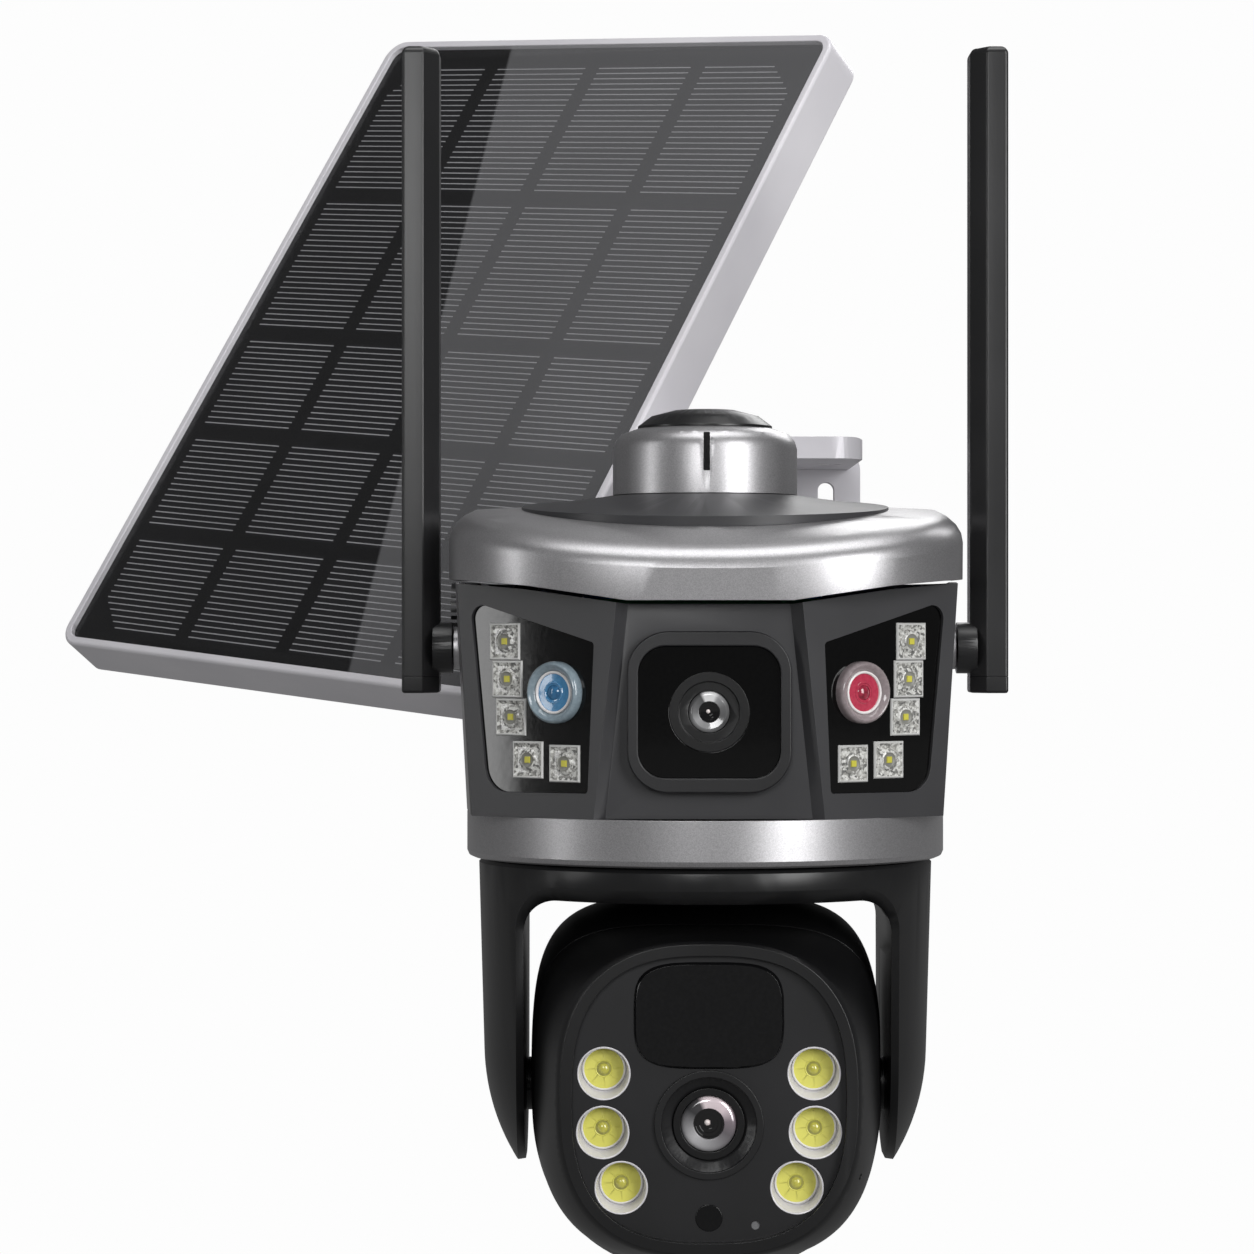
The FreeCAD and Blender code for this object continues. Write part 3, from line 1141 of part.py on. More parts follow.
def make_ball_face():
    """The ball's face: its plate, motion window, lens, LED cups and small sensors."""
    front = float(s.face_out - s.face_inset)
    back = front - float(s.face_gauge)
    lens_z, cup_r = -float(s.ball_lens_drop), float(s.cup_radius + s.cup_wall)
    sensor_z, mic_z = -float(s.light_sensor_drop), -float(s.mic_drop)
    cups_at = [(side * x, z) for side in (-1, 1) for x, z in CUP_PLACES]

    plate = opening_block(front, back).cut(window_block(front + 1, back - 1))
    plate = plate.cut(forward_bar(s.ring_radius, -front - 1, 20, 0, lens_z))
    for x, z in cups_at:
        plate = plate.cut(forward_bar(cup_r, -front - 1, 20, x, z))
    plate = plate.cut(forward_bar(s.light_sensor_radius, -front - 1, 20, 0, sensor_z))
    plate = plate.cut(forward_bar(s.mic_radius, -front - 1, 20, s.mic_offset, mic_z))
    shaped(plate, "face_plate", z=tilt_axis)

    proud = front + float(s.pir_proud)
    pir_top = Part.makeLoft([
        ball_wire(proud - 0.6, float(s.pir_width) / 2, float(s.pir_height) / 2,
                  float(s.pir_squareness), float(s.pir_rise)),
        ball_wire(proud, float(s.pir_width) / 2 - 0.7, float(s.pir_height) / 2 - 0.7,
                  float(s.pir_squareness), float(s.pir_rise))], True, True)
    window = window_block(proud - 0.6, back).fuse(pir_top)
    shaped(window.cut(window_block(back + 1.2, back - 1, 1.6)), "motion_window", z=tilt_axis)
    board = float(s.board_out)

    lens_front = front + float(s.lens_ring_proud)
    ring_r, step_r, throat = float(s.ring_radius), float(s.ring_step), float(s.ring_throat)
    ring_body = forward_bar(ring_r, -lens_front, 8, 0, lens_z)
    at = Vector(0, -lens_front, lens_z)
    ring_body = ring_body.cut(Part.makeCylinder(step_r, 1, at, Vector(0, 1, 0)))
    at.y += 1
    ring_body = ring_body.cut(Part.makeCone(step_r, throat, 2.4, at, Vector(0, 1, 0)))
    ring_body = ring_body.cut(forward_bar(throat, -lens_front, 20, 0, lens_z))
    shaped(ring_body, "lens_ring", z=tilt_axis)
    nose = lens_front - 2.6
    barrel = forward_bar(throat, -nose, nose - board, 0, lens_z)
    barrel = barrel.cut(forward_bar(s.ball_lens_radius, -nose - 1, 5.4, 0, lens_z))
    barrel = barrel.cut(forward_bar(s.ball_lens_radius - 2, -nose - 1, 20, 0, lens_z))
    shaped(barrel, "lower_lens_barrel", z=tilt_axis)
    shaped(lens_dome(s.ball_lens_radius, 2.2, -nose + 1.4, 5.2, lens_z), "lower_lens_glass",
           z=tilt_axis)

    cups, emitters = [], []
    for x, z in cups_at:
        cup = forward_bar(cup_r, -front, s.cup_depth + s.cup_wall, x, z)
        cups.append(cup.cut(forward_bar(s.cup_radius, -front - 1, s.cup_depth + 1, x, z)))
        floor = float(s.cup_depth) - front
        chip = forward_bar(s.emitter_radius, floor - float(s.emitter_gauge), s.emitter_gauge, x, z)
        globe = Part.makeSphere(2.1, Vector(x, floor - float(s.emitter_gauge), z))
        behind = Part.makeBox(9, 9, 9, Vector(x - 4.5, floor - float(s.emitter_gauge), z - 4.5))
        emitters.append(chip.fuse(globe.cut(behind)))
    shaped(Part.makeCompound(cups), "led_cups", z=tilt_axis)
    shaped(Part.makeCompound(emitters), "led_emitters", z=tilt_axis)
    shaped(forward_bar(s.light_sensor_radius, -front - 0.3, 4, 0, sensor_z), "light_sensor",
           z=tilt_axis)
    shaped(forward_bar(s.mic_radius, -front + 0.5, 3, s.mic_offset, mic_z), "microphone",
           z=tilt_axis)
    board_plate = box(Size(64), s.board_gauge, Size(60), Size(0),
                      pan_y - s.board_out + s.board_gauge / 2, tilt_axis - 30)
    sensor = cylinder(s.sensor_radius, s.sensor_length, Size(0), pan_y - s.board_out - s.sensor_length,
                      tilt_axis + s.pir_rise, TO_Y)
    node(fuse(board_plate, sensor), "ball_board")


# ------------------------------------------------------------------ solar panel and its arm
PANEL_TURN = (Rotation(Vector(0, 0, 1), float(s.panel_yaw))
              * Rotation(Vector(1, 0, 0), float(s.panel_pitch))
              * Rotation(Vector(0, 1, 0), float(s.panel_roll)))
PANEL_PLACE = Placement(Vector(float(s.panel_x), -float(s.panel_out), float(s.panel_rise)),
                        PANEL_TURN)
KNUCKLE = Vector(-float(s.shelf_hole_spread), -float(s.shelf_hole_out),
                 float(shelf_top + s.knuckle_rise))


def panel_slab(width, height, corner, front, thick):
    """A rounded plate in the panel's own frame: X across, Y to the back, Z up."""
    plate = slab(rounded_box_wire(float(width), float(height), float(corner)), float(thick))
    plate = plate.rotated(Vector(), Vector(1, 0, 0), 90)
    plate.translate(Vector(0, float(front) + float(thick), 0))
    return plate


def on_panel(shape, label):
    shaped(shape, label, s.panel_x, -s.panel_out, s.panel_rise, PANEL_TURN)


def make_panel():
    """Frame, cell laminate, cover glass and the box its wires end in."""
    wide, tall, deep = s.panel_width, s.panel_height, s.panel_thick
    lip, corner, glass, cells = s.panel_lip, s.panel_corner, s.glass_gauge, s.laminate_gauge
    frame = panel_slab(wide, tall, corner, 0, deep)
    outline_edges = [e for e in frame.Edges if abs(e.CenterOfMass.y) < 0.01]
    frame = frame.makeFillet(1.2, outline_edges)
    frame = frame.cut(panel_slab(wide - 2 * lip, tall - 2 * lip, corner - lip, -1, 1 + glass + cells))
    web = glass + cells + s.web_gauge
    frame = frame.cut(panel_slab(wide - 2 * s.panel_rim, tall - 2 * s.panel_rim, 4, web, deep))
    boss = Part.makeCylinder(float(s.boss_radius), float(deep + s.boss_height - web),
                             Vector(0, float(web), 0), Vector(0, 1, 0))
    bore = Part.makeCylinder(float(s.pivot_radius + s.running_gap), float(s.pivot_length) + 1,
                             Vector(0, float(deep + s.boss_height - s.pivot_length) - 1, 0),
                             Vector(0, 1, 0))
    on_panel(frame.fuse(boss).cut(bore), "panel_frame")
    inner = (wide - 2 * lip, tall - 2 * lip, corner - lip)
    on_panel(panel_slab(*inner, glass, cells), "panel_laminate")
    on_panel(panel_slab(*inner, 0, glass), "panel_glass")
    box_at = Vector(-float(s.junction_width) / 2, float(web), -90)
    on_panel(Part.makeBox(float(s.junction_width), float(s.junction_depth),
                          float(s.junction_height), box_at), "junction_box")


def make_panel_arm():
    """Post on the shelf, and the arm from its knuckle to the panel's boss."""
    hub_at = float(s.panel_thick + s.boss_height + s.joint_gap)
    gauge = float(s.plate_gauge)
    disc = Part.makeCylinder(float(s.boss_radius), gauge, Vector(0, hub_at, 0), Vector(0, 1, 0))
    stud = Part.makeCylinder(float(s.pivot_radius), float(s.pivot_length) + 1,
                             Vector(0, hub_at - float(s.pivot_length), 0), Vector(0, 1, 0))
    front_of_disc = Part.makeBox(400, 100, 400, Vector(-200, hub_at + gauge - 100, -200))
    for piece in (disc, stud, front_of_disc):
        piece.Placement = PANEL_PLACE.multiply(piece.Placement)

    start = PANEL_PLACE.multVec(Vector(0, hub_at + gauge / 2, 0))
    along = KNUCKLE - start
    across = Vector(along.y, -along.x, 0)
    across.normalize()
    up = across.cross(along)
    up.normalize()
    reach = along.Length
    along.normalize()
    half_t, half_w = float(s.bar_thick) / 2, float(s.bar_width) / 2
    corners = [across * (half_t * a) + up * (half_w * b)
               for a, b in ((-1, -1), (1, -1), (1, 1), (-1, 1))]
    foot = start - along * 4
    profile = Part.Face(Part.makePolygon([foot + c for c in corners + corners[:1]]))
    bar = profile.extrude(along * (reach + 4)).cut(front_of_disc)
    eye_half = float(s.eye_width) / 2
    eye = Part.makeCylinder(float(s.eye_radius), 2 * eye_half, KNUCKLE - across * eye_half, across)
    pin = float(s.pin_radius)
    bore = Part.makeCylinder(pin + float(s.running_gap), 60, KNUCKLE - across * 30, across)
    arm = disc.fuse(stud).fuse(bar).fuse(eye).cut(bore)
    shaped(arm.removeSplitter(), "panel_arm", y=0)

    hole_x, hole_y = KNUCKLE.x, KNUCKLE.y
    top, gap = float(shelf_top), float(s.joint_gap)
    foot_disc = Part.makeCylinder(float(s.foot_radius), float(s.foot_thick) - gap,
                                  Vector(hole_x, hole_y, top + gap))
    neck_top = KNUCKLE.z - float(s.eye_radius) - 2
    neck = Part.makeCylinder(float(s.post_radius), neck_top - top - gap,
                             Vector(hole_x, hole_y, top + gap))
    bolt_low = top - float(s.shelf_thick + s.nut_height) - gap
    bolt = Part.makeCylinder(float(s.bolt_radius), top - bolt_low + 2,
                             Vector(hole_x, hole_y, bolt_low))
    inner = eye_half + float(s.ear_gap)
    ears = []
    square = Vector(0, 0, 1).cross(across)
    for side in (-1, 1):
        base = KNUCKLE + across * (side * inner)
        eye_r = float(s.eye_radius)
        ear = Part.makeCylinder(eye_r, float(s.ear_width), base, across * side)
        lows = [base + square * (eye_r * a) + Vector(0, 0, b) for a, b in
                ((-1, neck_top - KNUCKLE.z - 3), (1, neck_top - KNUCKLE.z - 3), (1, 0), (-1, 0))]
        plate = Part.Face(Part.makePolygon(lows + lows[:1]))
        ears.append(ear.fuse(plate.extrude(across * (side * float(s.ear_width)))))
    bridge_low = neck_top - 3
    bridge = Part.makeCylinder(float(s.eye_radius) + 0.5, 3, Vector(hole_x, hole_y, bridge_low))
    post = foot_disc.fuse(neck).fuse(bolt).fuse(bridge)
    for ear in ears:
        post = post.fuse(ear)
    post = post.cut(Part.makeCylinder(pin, 60, KNUCKLE - across * 30, across))
    shaped(post.removeSplitter(), "panel_post", y=0)

    outer = inner + float(s.ear_width)
    bolt = Part.makeCylinder(pin, 2 * outer, KNUCKLE - across * outer, across)
    for side in (-1, 1):
        bolt = bolt.fuse(Part.makeCylinder(float(s.knob_radius), float(s.knob_width),
                                           KNUCKLE + across * (side * outer), across * side))
    shaped(bolt.removeSplitter(), "knuckle_bolt", y=0)
    hexagon = [Vector(math.cos(i * math.pi / 3), math.sin(i * math.pi / 3), 0)
               * (float(s.nut_width) / math.sqrt(3)) for i in range(6)]
    nut = Part.Face(Part.makePolygon(hexagon + hexagon[:1])).extrude(
        Vector(0, 0, float(s.nut_height)))
    nut = nut.cut(Part.makeCylinder(float(s.bolt_radius), 20, Vector(0, 0, -5)))
    shaped(nut, "post_nut", -s.shelf_hole_spread, -s.shelf_hole_out,
           shelf_top - s.shelf_thick - s.nut_height - s.joint_gap)


# ------------------------------------------------------------------ build, check and write
bracket = make_bracket()
finish_bracket(bracket)
node(bracket, "bracket")
make_collar()
make_visor()
make_cover()
make_head_shells()
make_face_windows()
make_band()
make_pan_drive()
make_head_insides()
make_antenna("left", -1)
make_antenna("right", 1)
finish_yoke(make_yoke())
make_axle_plates()
make_tilt_drive()
make_ball_shells()
make_ball_face()
make_panel()
make_panel_arm()
doc.recompute()

faults = [f"{thing.Name}: {thing.State}" for thing in doc.Objects
          if {"Invalid", "Error"} & set(thing.State)]
faults += [f"{part.Label}: bad shape" for part in parts
           if part.Shape.isNull() or not part.Shape.isValid() or part.Shape.Volume <= 0]
if faults:
    raise RuntimeError("; ".join(faults))

os.makedirs("parts", exist_ok=True)
for part in parts:
    part.Shape.exportStep(f"parts/{part.Label}.step")
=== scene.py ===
# %% [markdown]
# # A solar camera with a pan and tilt ball
#
# This lesson dresses a finished CAD model of an outdoor camera. The CAD gives every
# piece its place and size. Here each piece gets its surface: painted, moulded, polished
# or printed, and the small lenses get the detail that a solid model leaves out.

# %% Load the CAD model
import json
import math

import bmesh
import bpy
from mathutils import Matrix, Vector


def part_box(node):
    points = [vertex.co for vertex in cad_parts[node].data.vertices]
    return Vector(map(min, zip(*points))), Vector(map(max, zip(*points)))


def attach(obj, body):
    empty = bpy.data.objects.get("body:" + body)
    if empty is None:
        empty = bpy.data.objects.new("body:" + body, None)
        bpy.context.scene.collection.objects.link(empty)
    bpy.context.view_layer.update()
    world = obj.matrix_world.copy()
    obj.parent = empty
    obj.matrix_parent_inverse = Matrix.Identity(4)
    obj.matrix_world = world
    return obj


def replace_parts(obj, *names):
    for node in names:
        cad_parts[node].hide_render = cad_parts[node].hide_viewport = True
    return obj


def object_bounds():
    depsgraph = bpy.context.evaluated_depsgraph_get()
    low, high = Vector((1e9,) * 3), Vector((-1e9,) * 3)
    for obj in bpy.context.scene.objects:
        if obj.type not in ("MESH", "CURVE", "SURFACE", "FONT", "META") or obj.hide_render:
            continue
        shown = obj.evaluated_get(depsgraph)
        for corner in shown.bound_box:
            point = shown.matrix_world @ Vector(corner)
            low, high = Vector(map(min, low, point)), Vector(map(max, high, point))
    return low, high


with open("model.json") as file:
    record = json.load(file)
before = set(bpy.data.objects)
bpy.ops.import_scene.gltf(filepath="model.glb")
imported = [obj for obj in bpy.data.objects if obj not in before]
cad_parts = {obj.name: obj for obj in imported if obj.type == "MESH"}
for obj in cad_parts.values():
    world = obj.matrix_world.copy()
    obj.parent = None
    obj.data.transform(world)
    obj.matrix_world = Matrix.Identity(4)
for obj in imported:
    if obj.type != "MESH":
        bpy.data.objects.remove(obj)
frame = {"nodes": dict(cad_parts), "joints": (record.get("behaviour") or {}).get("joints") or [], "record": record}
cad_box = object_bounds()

MM = 0.001
NODES = frame["nodes"]
BODY_OF = {node: body for body, nodes in frame["record"]["behaviour"]["bodies"].items()
           for node in nodes}
JOINTS = {joint["name"]: joint for joint in frame["joints"]}

# %% [markdown]
# ## Where things are
#
# The pan axis is upright through the head. The ball tilts about a level axis. Both are
# read from the model's joints, so nothing here has to be measured twice.

# %% Axes from the joints
PAN = Vector(JOINTS["head_swivel"]["pos_m"])
TILT = Vector(JOINTS["ball_tilt"]["pos_m"])
HEAD_TOP = 1.4 * MM
RIDGE_OUT, RIDGE_FRONT = 26 * MM, 68.2 * MM
RIDGE = Vector((RIDGE_OUT, PAN.y - RIDGE_FRONT, HEAD_TOP))
YAW = math.radians(34)
print("pan axis", tuple(round(v, 4) for v in PAN), "tilt axis", tuple(round(v, 4) for v in TILT))


def face_frame(origin, side=0):
    """Local x right, y up, z out of the face. side 1 or -1 turns it to a slanted facet."""
    if side == 0:
        across, out = Vector((1, 0, 0)), Vector((0, -1, 0))
    else:
        across = Vector((side * math.cos(YAW), math.sin(YAW), 0))
        out = Vector((side * math.sin(YAW), -math.cos(YAW), 0))
    up = Vector((0, 0, 1))
    axes = Matrix((across, up, out)).transposed().to_4x4()
    return Matrix.Translation(origin) @ axes


FACET = {side: face_frame(Vector((side * RIDGE.x, RIDGE.y, RIDGE.z)), side) for side in (1, -1)}
BALL_FACE = face_frame(TILT)

# %% [markdown]
# ## Making meshes
#
# Round pieces such as lens rings are turned on a lathe: one outline goes round an axis.
# Everything is built flat in a face's own frame, where z points out of the face, and a
# matrix then puts it in place. A mirrored frame turns a shape inside out, so the normals
# are worked out again afterwards.


# %% Mesh helpers
def finish_piece(name, bm, finish, body, smooth=40):
    """Turn a bmesh into a named piece that rides on a body."""
    bmesh.ops.remove_doubles(bm, verts=bm.verts, dist=1e-6)
    bmesh.ops.recalc_face_normals(bm, faces=bm.faces)
    mesh = bpy.data.meshes.new(name)
    bm.to_mesh(mesh)
    bm.free()
    mesh.shade_smooth()
    mesh.set_sharp_from_angle(angle=math.radians(smooth))
    piece = bpy.data.objects.new(name, mesh)
    bpy.context.scene.collection.objects.link(piece)
    piece.data.materials.append(finish)
    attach(piece, body)
    return piece


def lathe(bm, outline, place, steps=64, skew=(0, 0)):
    """Turn an outline of (radius, height) in millimetres. skew slides the far end sideways."""
    low, high = min(h for _, h in outline), max(h for _, h in outline)
    rings = []
    for radius, height in outline:
        share = (high - height) / max(high - low, 1e-9)
        cx, cy = skew[0] * share, skew[1] * share
        if radius == 0:
            rings.append([bm.verts.new(place @ (Vector((cx, cy, height)) * MM))])
            continue
        ring = []
        for i in range(steps):
            a = 2 * math.pi * i / steps
            point = Vector((cx + radius * math.cos(a), cy + radius * math.sin(a), height))
            ring.append(bm.verts.new(place @ (point * MM)))
        rings.append(ring)
    for one, two in zip(rings, rings[1:]):
        for i in range(steps):
            j = (i + 1) % steps
            corners = [one[i % len(one)], one[j % len(one)], two[j % len(two)], two[i % len(two)]]
            unique = list(dict.fromkeys(corners))
            if len(unique) > 2:
                bm.faces.new(unique)


def closed_lathe(bm, outline, place, steps=64, skew=(0, 0)):
    """A ring of solid section: the outline's last point joins its first."""
    lathe(bm, outline + outline[:1], place, steps, skew)


def at(place, x, y, z=0):
    """The same frame moved by millimetres."""
    return place @ Matrix.Translation(Vector((x, y, z)) * MM)


def islands(node):
    """The separate solids of a CAD node, each as a list of points."""
    bm = bmesh.new()
    bm.from_mesh(NODES[node].data)
    bmesh.ops.remove_doubles(bm, verts=bm.verts, dist=1e-6)
    left, found = set(bm.verts), []
    while left:
        todo, members = [left.pop()], []
        while todo:
            vert = todo.pop()
            members.append(vert.co.copy())
            for edge in vert.link_edges:
                other = edge.other_vert(vert)
                if other in left:
                    left.remove(other)
                    todo.append(other)
        found.append(members)
    bm.free()
    return found


def middle(points):
    low = Vector(min(p[i] for p in points) for i in range(3))
    high = Vector(max(p[i] for p in points) for i in range(3))
    return (low + high) / 2


# %% [markdown]
# ## Making finishes
#
# Every finish is a node tree on the Principled shader. One function adds a node, sets
# it and links it. Colours are written as the hex values that a paint chart would give,
# and one function turns them into the linear numbers that Blender mixes.


# %% Finish helpers
def linear(code, alpha=1.0):
    """sRGB hex to linear colour."""
    values = [int(code[i:i + 2], 16) / 255 for i in (1, 3, 5)]
    return tuple(v / 12.92 if v <= 0.04045 else ((v + 0.055) / 1.055) ** 2.4
                 for v in values) + (alpha,)


def add(tree, kind, inputs=None, **settings):
    """Add a node, with its own settings, and set or link its inputs."""
    node = tree.nodes.new(kind)
    for name, value in settings.items():
        setattr(node, name, value)
    for socket, value in (inputs or {}).items():
        if isinstance(value, bpy.types.NodeSocket):
            tree.links.new(value, node.inputs[socket])
        else:
            node.inputs[socket].default_value = value
    return node


def start(name):
    """A new finish with nothing in it but its output and the object's own coordinates."""
    finish = bpy.data.materials.new(name)
    finish.use_nodes = True
    tree = finish.node_tree
    tree.nodes.clear()
    where = add(tree, "ShaderNodeTexCoord").outputs["Object"]
    return finish, tree, where


def end(tree, shader):
    add(tree, "ShaderNodeOutputMaterial", {"Surface": shader.outputs["BSDF"]})


def tone(tree, factor, stops):
    """Map a number to colours. stops are (position, hex)."""
    ramp = add(tree, "ShaderNodeValToRGB", {"Fac": factor})
    bands = ramp.color_ramp.elements
    while len(bands) < len(stops):
        bands.new(0.5)
    for band, (position, code) in zip(bands, stops):
        band.position = position
        band.color = linear(code)
    return ramp.outputs["Color"]


def between(tree, factor, low, high):
    """Map 0 to 1 onto a range of plain numbers."""
    return add(tree, "ShaderNodeMapRange", {"Value": factor, "To Min": low, "To Max": high})


def moulded(name, dark, light, rough, grain_mm, depth_mm, metallic=0.0):
    """Moulded or painted plastic: a fine grain you can feel, and a slow drift of tone."""
    finish, tree, where = start(name)
    grain = add(tree, "ShaderNodeTexNoise",
                {"Vector": where, "Scale": 1 / (grain_mm * MM), "Detail": 3, "Roughness": 0.6})
    drift = add(tree, "ShaderNodeTexNoise", {"Vector": where, "Scale": 22, "Detail": 4})
    bump = add(tree, "ShaderNodeBump", {"Height": grain.outputs["Fac"], "Distance": depth_mm * MM,
                                        "Strength": 1.0})
    colour = tone(tree, drift.outputs["Fac"], [(0.3, dark), (0.7, light)])
    shine = between(tree, drift.outputs["Fac"], rough - 0.05, rough + 0.05)
    shader = add(tree, "ShaderNodeBsdfPrincipled",
                 {"Base Color": colour, "Roughness": shine.outputs["Result"], "Metallic": metallic,
                  "Coat Roughness": 0.2, "IOR": 1.5, "Normal": bump.outputs["Normal"]})
    end(tree, shader)
    return finish


# %% [markdown]
# ## Metallic paint
#
# The visor, band and collar are ABS sprayed with a silver metallic paint. Aluminium
# flakes of about a tenth of a millimetre lie at slightly different angles in it, so each
# one is a little brighter or darker than the next. A Voronoi pattern gives every flake
# its own tone. The flakes are drawn twice too large so that they still show, and their
# tones lie close together, because from a metre away the paint looks almost smooth.


# %% Metallic paint
def metallic_paint(name, dark, light, rough, metallic):
    finish, tree, where = start(name)
    flakes = add(tree, "ShaderNodeTexVoronoi", {"Vector": where, "Scale": 1 / (0.2 * MM)})
    level = add(tree, "ShaderNodeSeparateColor", {"Color": flakes.outputs["Color"]})
    colour = tone(tree, level.outputs["Red"], [(0.0, dark), (1.0, light)])
    drift = add(tree, "ShaderNodeTexNoise", {"Vector": where, "Scale": 18, "Detail": 3})
    shine = between(tree, drift.outputs["Fac"], rough - 0.04, rough + 0.04)
    peel = add(tree, "ShaderNodeTexNoise", {"Vector": where, "Scale": 1 / (0.9 * MM), "Detail": 2})
    bump = add(tree, "ShaderNodeBump", {"Height": peel.outputs["Fac"], "Distance": 0.006 * MM})
    shader = add(tree, "ShaderNodeBsdfPrincipled",
                 {"Base Color": colour, "Metallic": metallic, "Roughness": shine.outputs["Result"],
                  "Coat Weight": 0.25, "Coat Roughness": 0.25, "Normal": bump.outputs["Normal"]})
    end(tree, shader)
    return finish


SILVER_PAINT = metallic_paint("silver_metallic_paint", "#a09fa1", "#b9b8ba", 0.38, 0.85)

# %% [markdown]
# ## Moulded plastics
#
# The face and the ball are moulded ABS straight from a spark-eroded tool. The tool
# leaves a matt grain of about half a millimetre, a hundredth of a millimetre deep, which
# spreads the reflections so that the plastic looks soft and not wet.

# %% Moulded plastics
CHARCOAL_ABS = moulded("charcoal_abs", "#303032", "#38383a", 0.40, 0.5, 0.010)
BLACK_ABS = moulded("black_satin_abs", "#0e0e0f", "#141415", 0.34, 0.5, 0.007)
FACE_ABS = moulded("fine_black_abs", "#19191a", "#1f1f21", 0.36, 0.4, 0.006)
ANTENNA_ABS = moulded("antenna_abs", "#19191a", "#202021", 0.32, 0.5, 0.006)
TRIM_ABS = moulded("black_trim_abs", "#111112", "#171718", 0.32, 0.5, 0.006)
WHITE_PC = moulded("white_polycarbonate", "#cdcbd0", "#d8d6da", 0.34, 0.6, 0.006)
CUP_PC = moulded("reflector_polycarbonate", "#d2d0d3", "#dedcdf", 0.28, 0.8, 0.004)
BRACKET_PAINT = moulded("pale_satin_paint", "#c4c2c7", "#d0ced3", 0.40, 0.7, 0.012, 0.2)
GEAR_ACETAL = moulded("natural_acetal", "#e6e2d6", "#efebe0", 0.45, 0.6, 0.004)
BUTTON_RUBBER = moulded("silicone_rubber", "#202021", "#2a2a2b", 0.6, 0.4, 0.01)
ZINC_STEEL = moulded("zinc_plated_steel", "#a9abad", "#c3c5c8", 0.3, 0.6, 0.004, 1.0)
SOLDER_MASK = moulded("green_solder_mask", "#0d4a26", "#125c30", 0.3, 0.9, 0.01)
CELL_WRAP = moulded("blue_shrink_wrap", "#1d4f96", "#2560ac", 0.25, 2.0, 0.02)

# %% [markdown]
# ## Polished windows
#
# The camera windows are tinted acrylic, polished so well that they read as black with
# clean reflections. A faint waviness, a few hundredths of a millimetre over centimetres,
# keeps those reflections from looking like a mirror's.


# %% Polished windows
def polished(name, dark, light, rough, wave_mm=9.0, depth_mm=0.01, coat=0.0):
    finish, tree, where = start(name)
    wave = add(tree, "ShaderNodeTexNoise", {"Vector": where, "Scale": 1 / (wave_mm * MM)})
    bump = add(tree, "ShaderNodeBump", {"Height": wave.outputs["Fac"], "Distance": depth_mm * MM})
    dust = add(tree, "ShaderNodeTexNoise", {"Vector": where, "Scale": 900, "Detail": 5})
    colour = tone(tree, dust.outputs["Fac"], [(0.35, dark), (0.75, light)])
    shine = between(tree, dust.outputs["Fac"], rough, rough + 0.05)
    shader = add(tree, "ShaderNodeBsdfPrincipled",
                 {"Base Color": colour, "Roughness": shine.outputs["Result"], "Coat Weight": coat,
                  "Coat Roughness": 0.02, "IOR": 1.49, "Normal": bump.outputs["Normal"]})
    end(tree, shader)
    return finish


BLACK_ACRYLIC = polished("tinted_acrylic", "#030303", "#060606", 0.03)
PIR_WINDOW = polished("infrared_window", "#0b0b0c", "#111112", 0.10, 14.0, 0.05)
GLOSS_BLACK = polished("gloss_black_enamel", "#060607", "#0b0b0c", 0.12)

# %% [markdown]
# ## The big shells
#
# The shells come over from the CAD. A moulded edge is never knife sharp: its radius of a
# few tenths of a millimetre catches the light as a thin bright line. So each shell is
# copied, its loose triangles are merged, and a Bevel modifier rounds its edges.


# %% Dress a CAD shell
def dressed(node, finish, rim_mm=0.35, angle=32):
    """A copy of a CAD node with merged points and softened edges."""
    bm = bmesh.new()
    bm.from_mesh(NODES[node].data)
    bmesh.ops.remove_doubles(bm, verts=bm.verts, dist=2e-6)
    bmesh.ops.dissolve_limit(bm, angle_limit=math.radians(0.4), verts=bm.verts, edges=bm.edges,
                             delimit={"NORMAL"})
    mesh = bpy.data.meshes.new(node + "_skin")
    bm.to_mesh(mesh)
    bm.free()
    mesh.shade_smooth()
    mesh.set_sharp_from_angle(angle=math.radians(angle))
    piece = bpy.data.objects.new(node + "_skin", mesh)
    bpy.context.scene.collection.objects.link(piece)
    piece.data.materials.append(finish)
    if rim_mm:
        bevel = piece.modifiers.new("rim", "BEVEL")
        bevel.width = rim_mm * MM
        bevel.segments = 2
        bevel.limit_method = "ANGLE"
        bevel.angle_limit = math.radians(angle)
        bevel.harden_normals = True
        bevel.use_clamp_overlap = True
    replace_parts(piece, node)
    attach(piece, BODY_OF[node])
    return piece


def repaint(node, finish):
    """A CAD node that keeps its mesh and only gets a better finish."""
    mesh = NODES[node].data
    mesh.materials.clear()
    mesh.materials.append(finish)


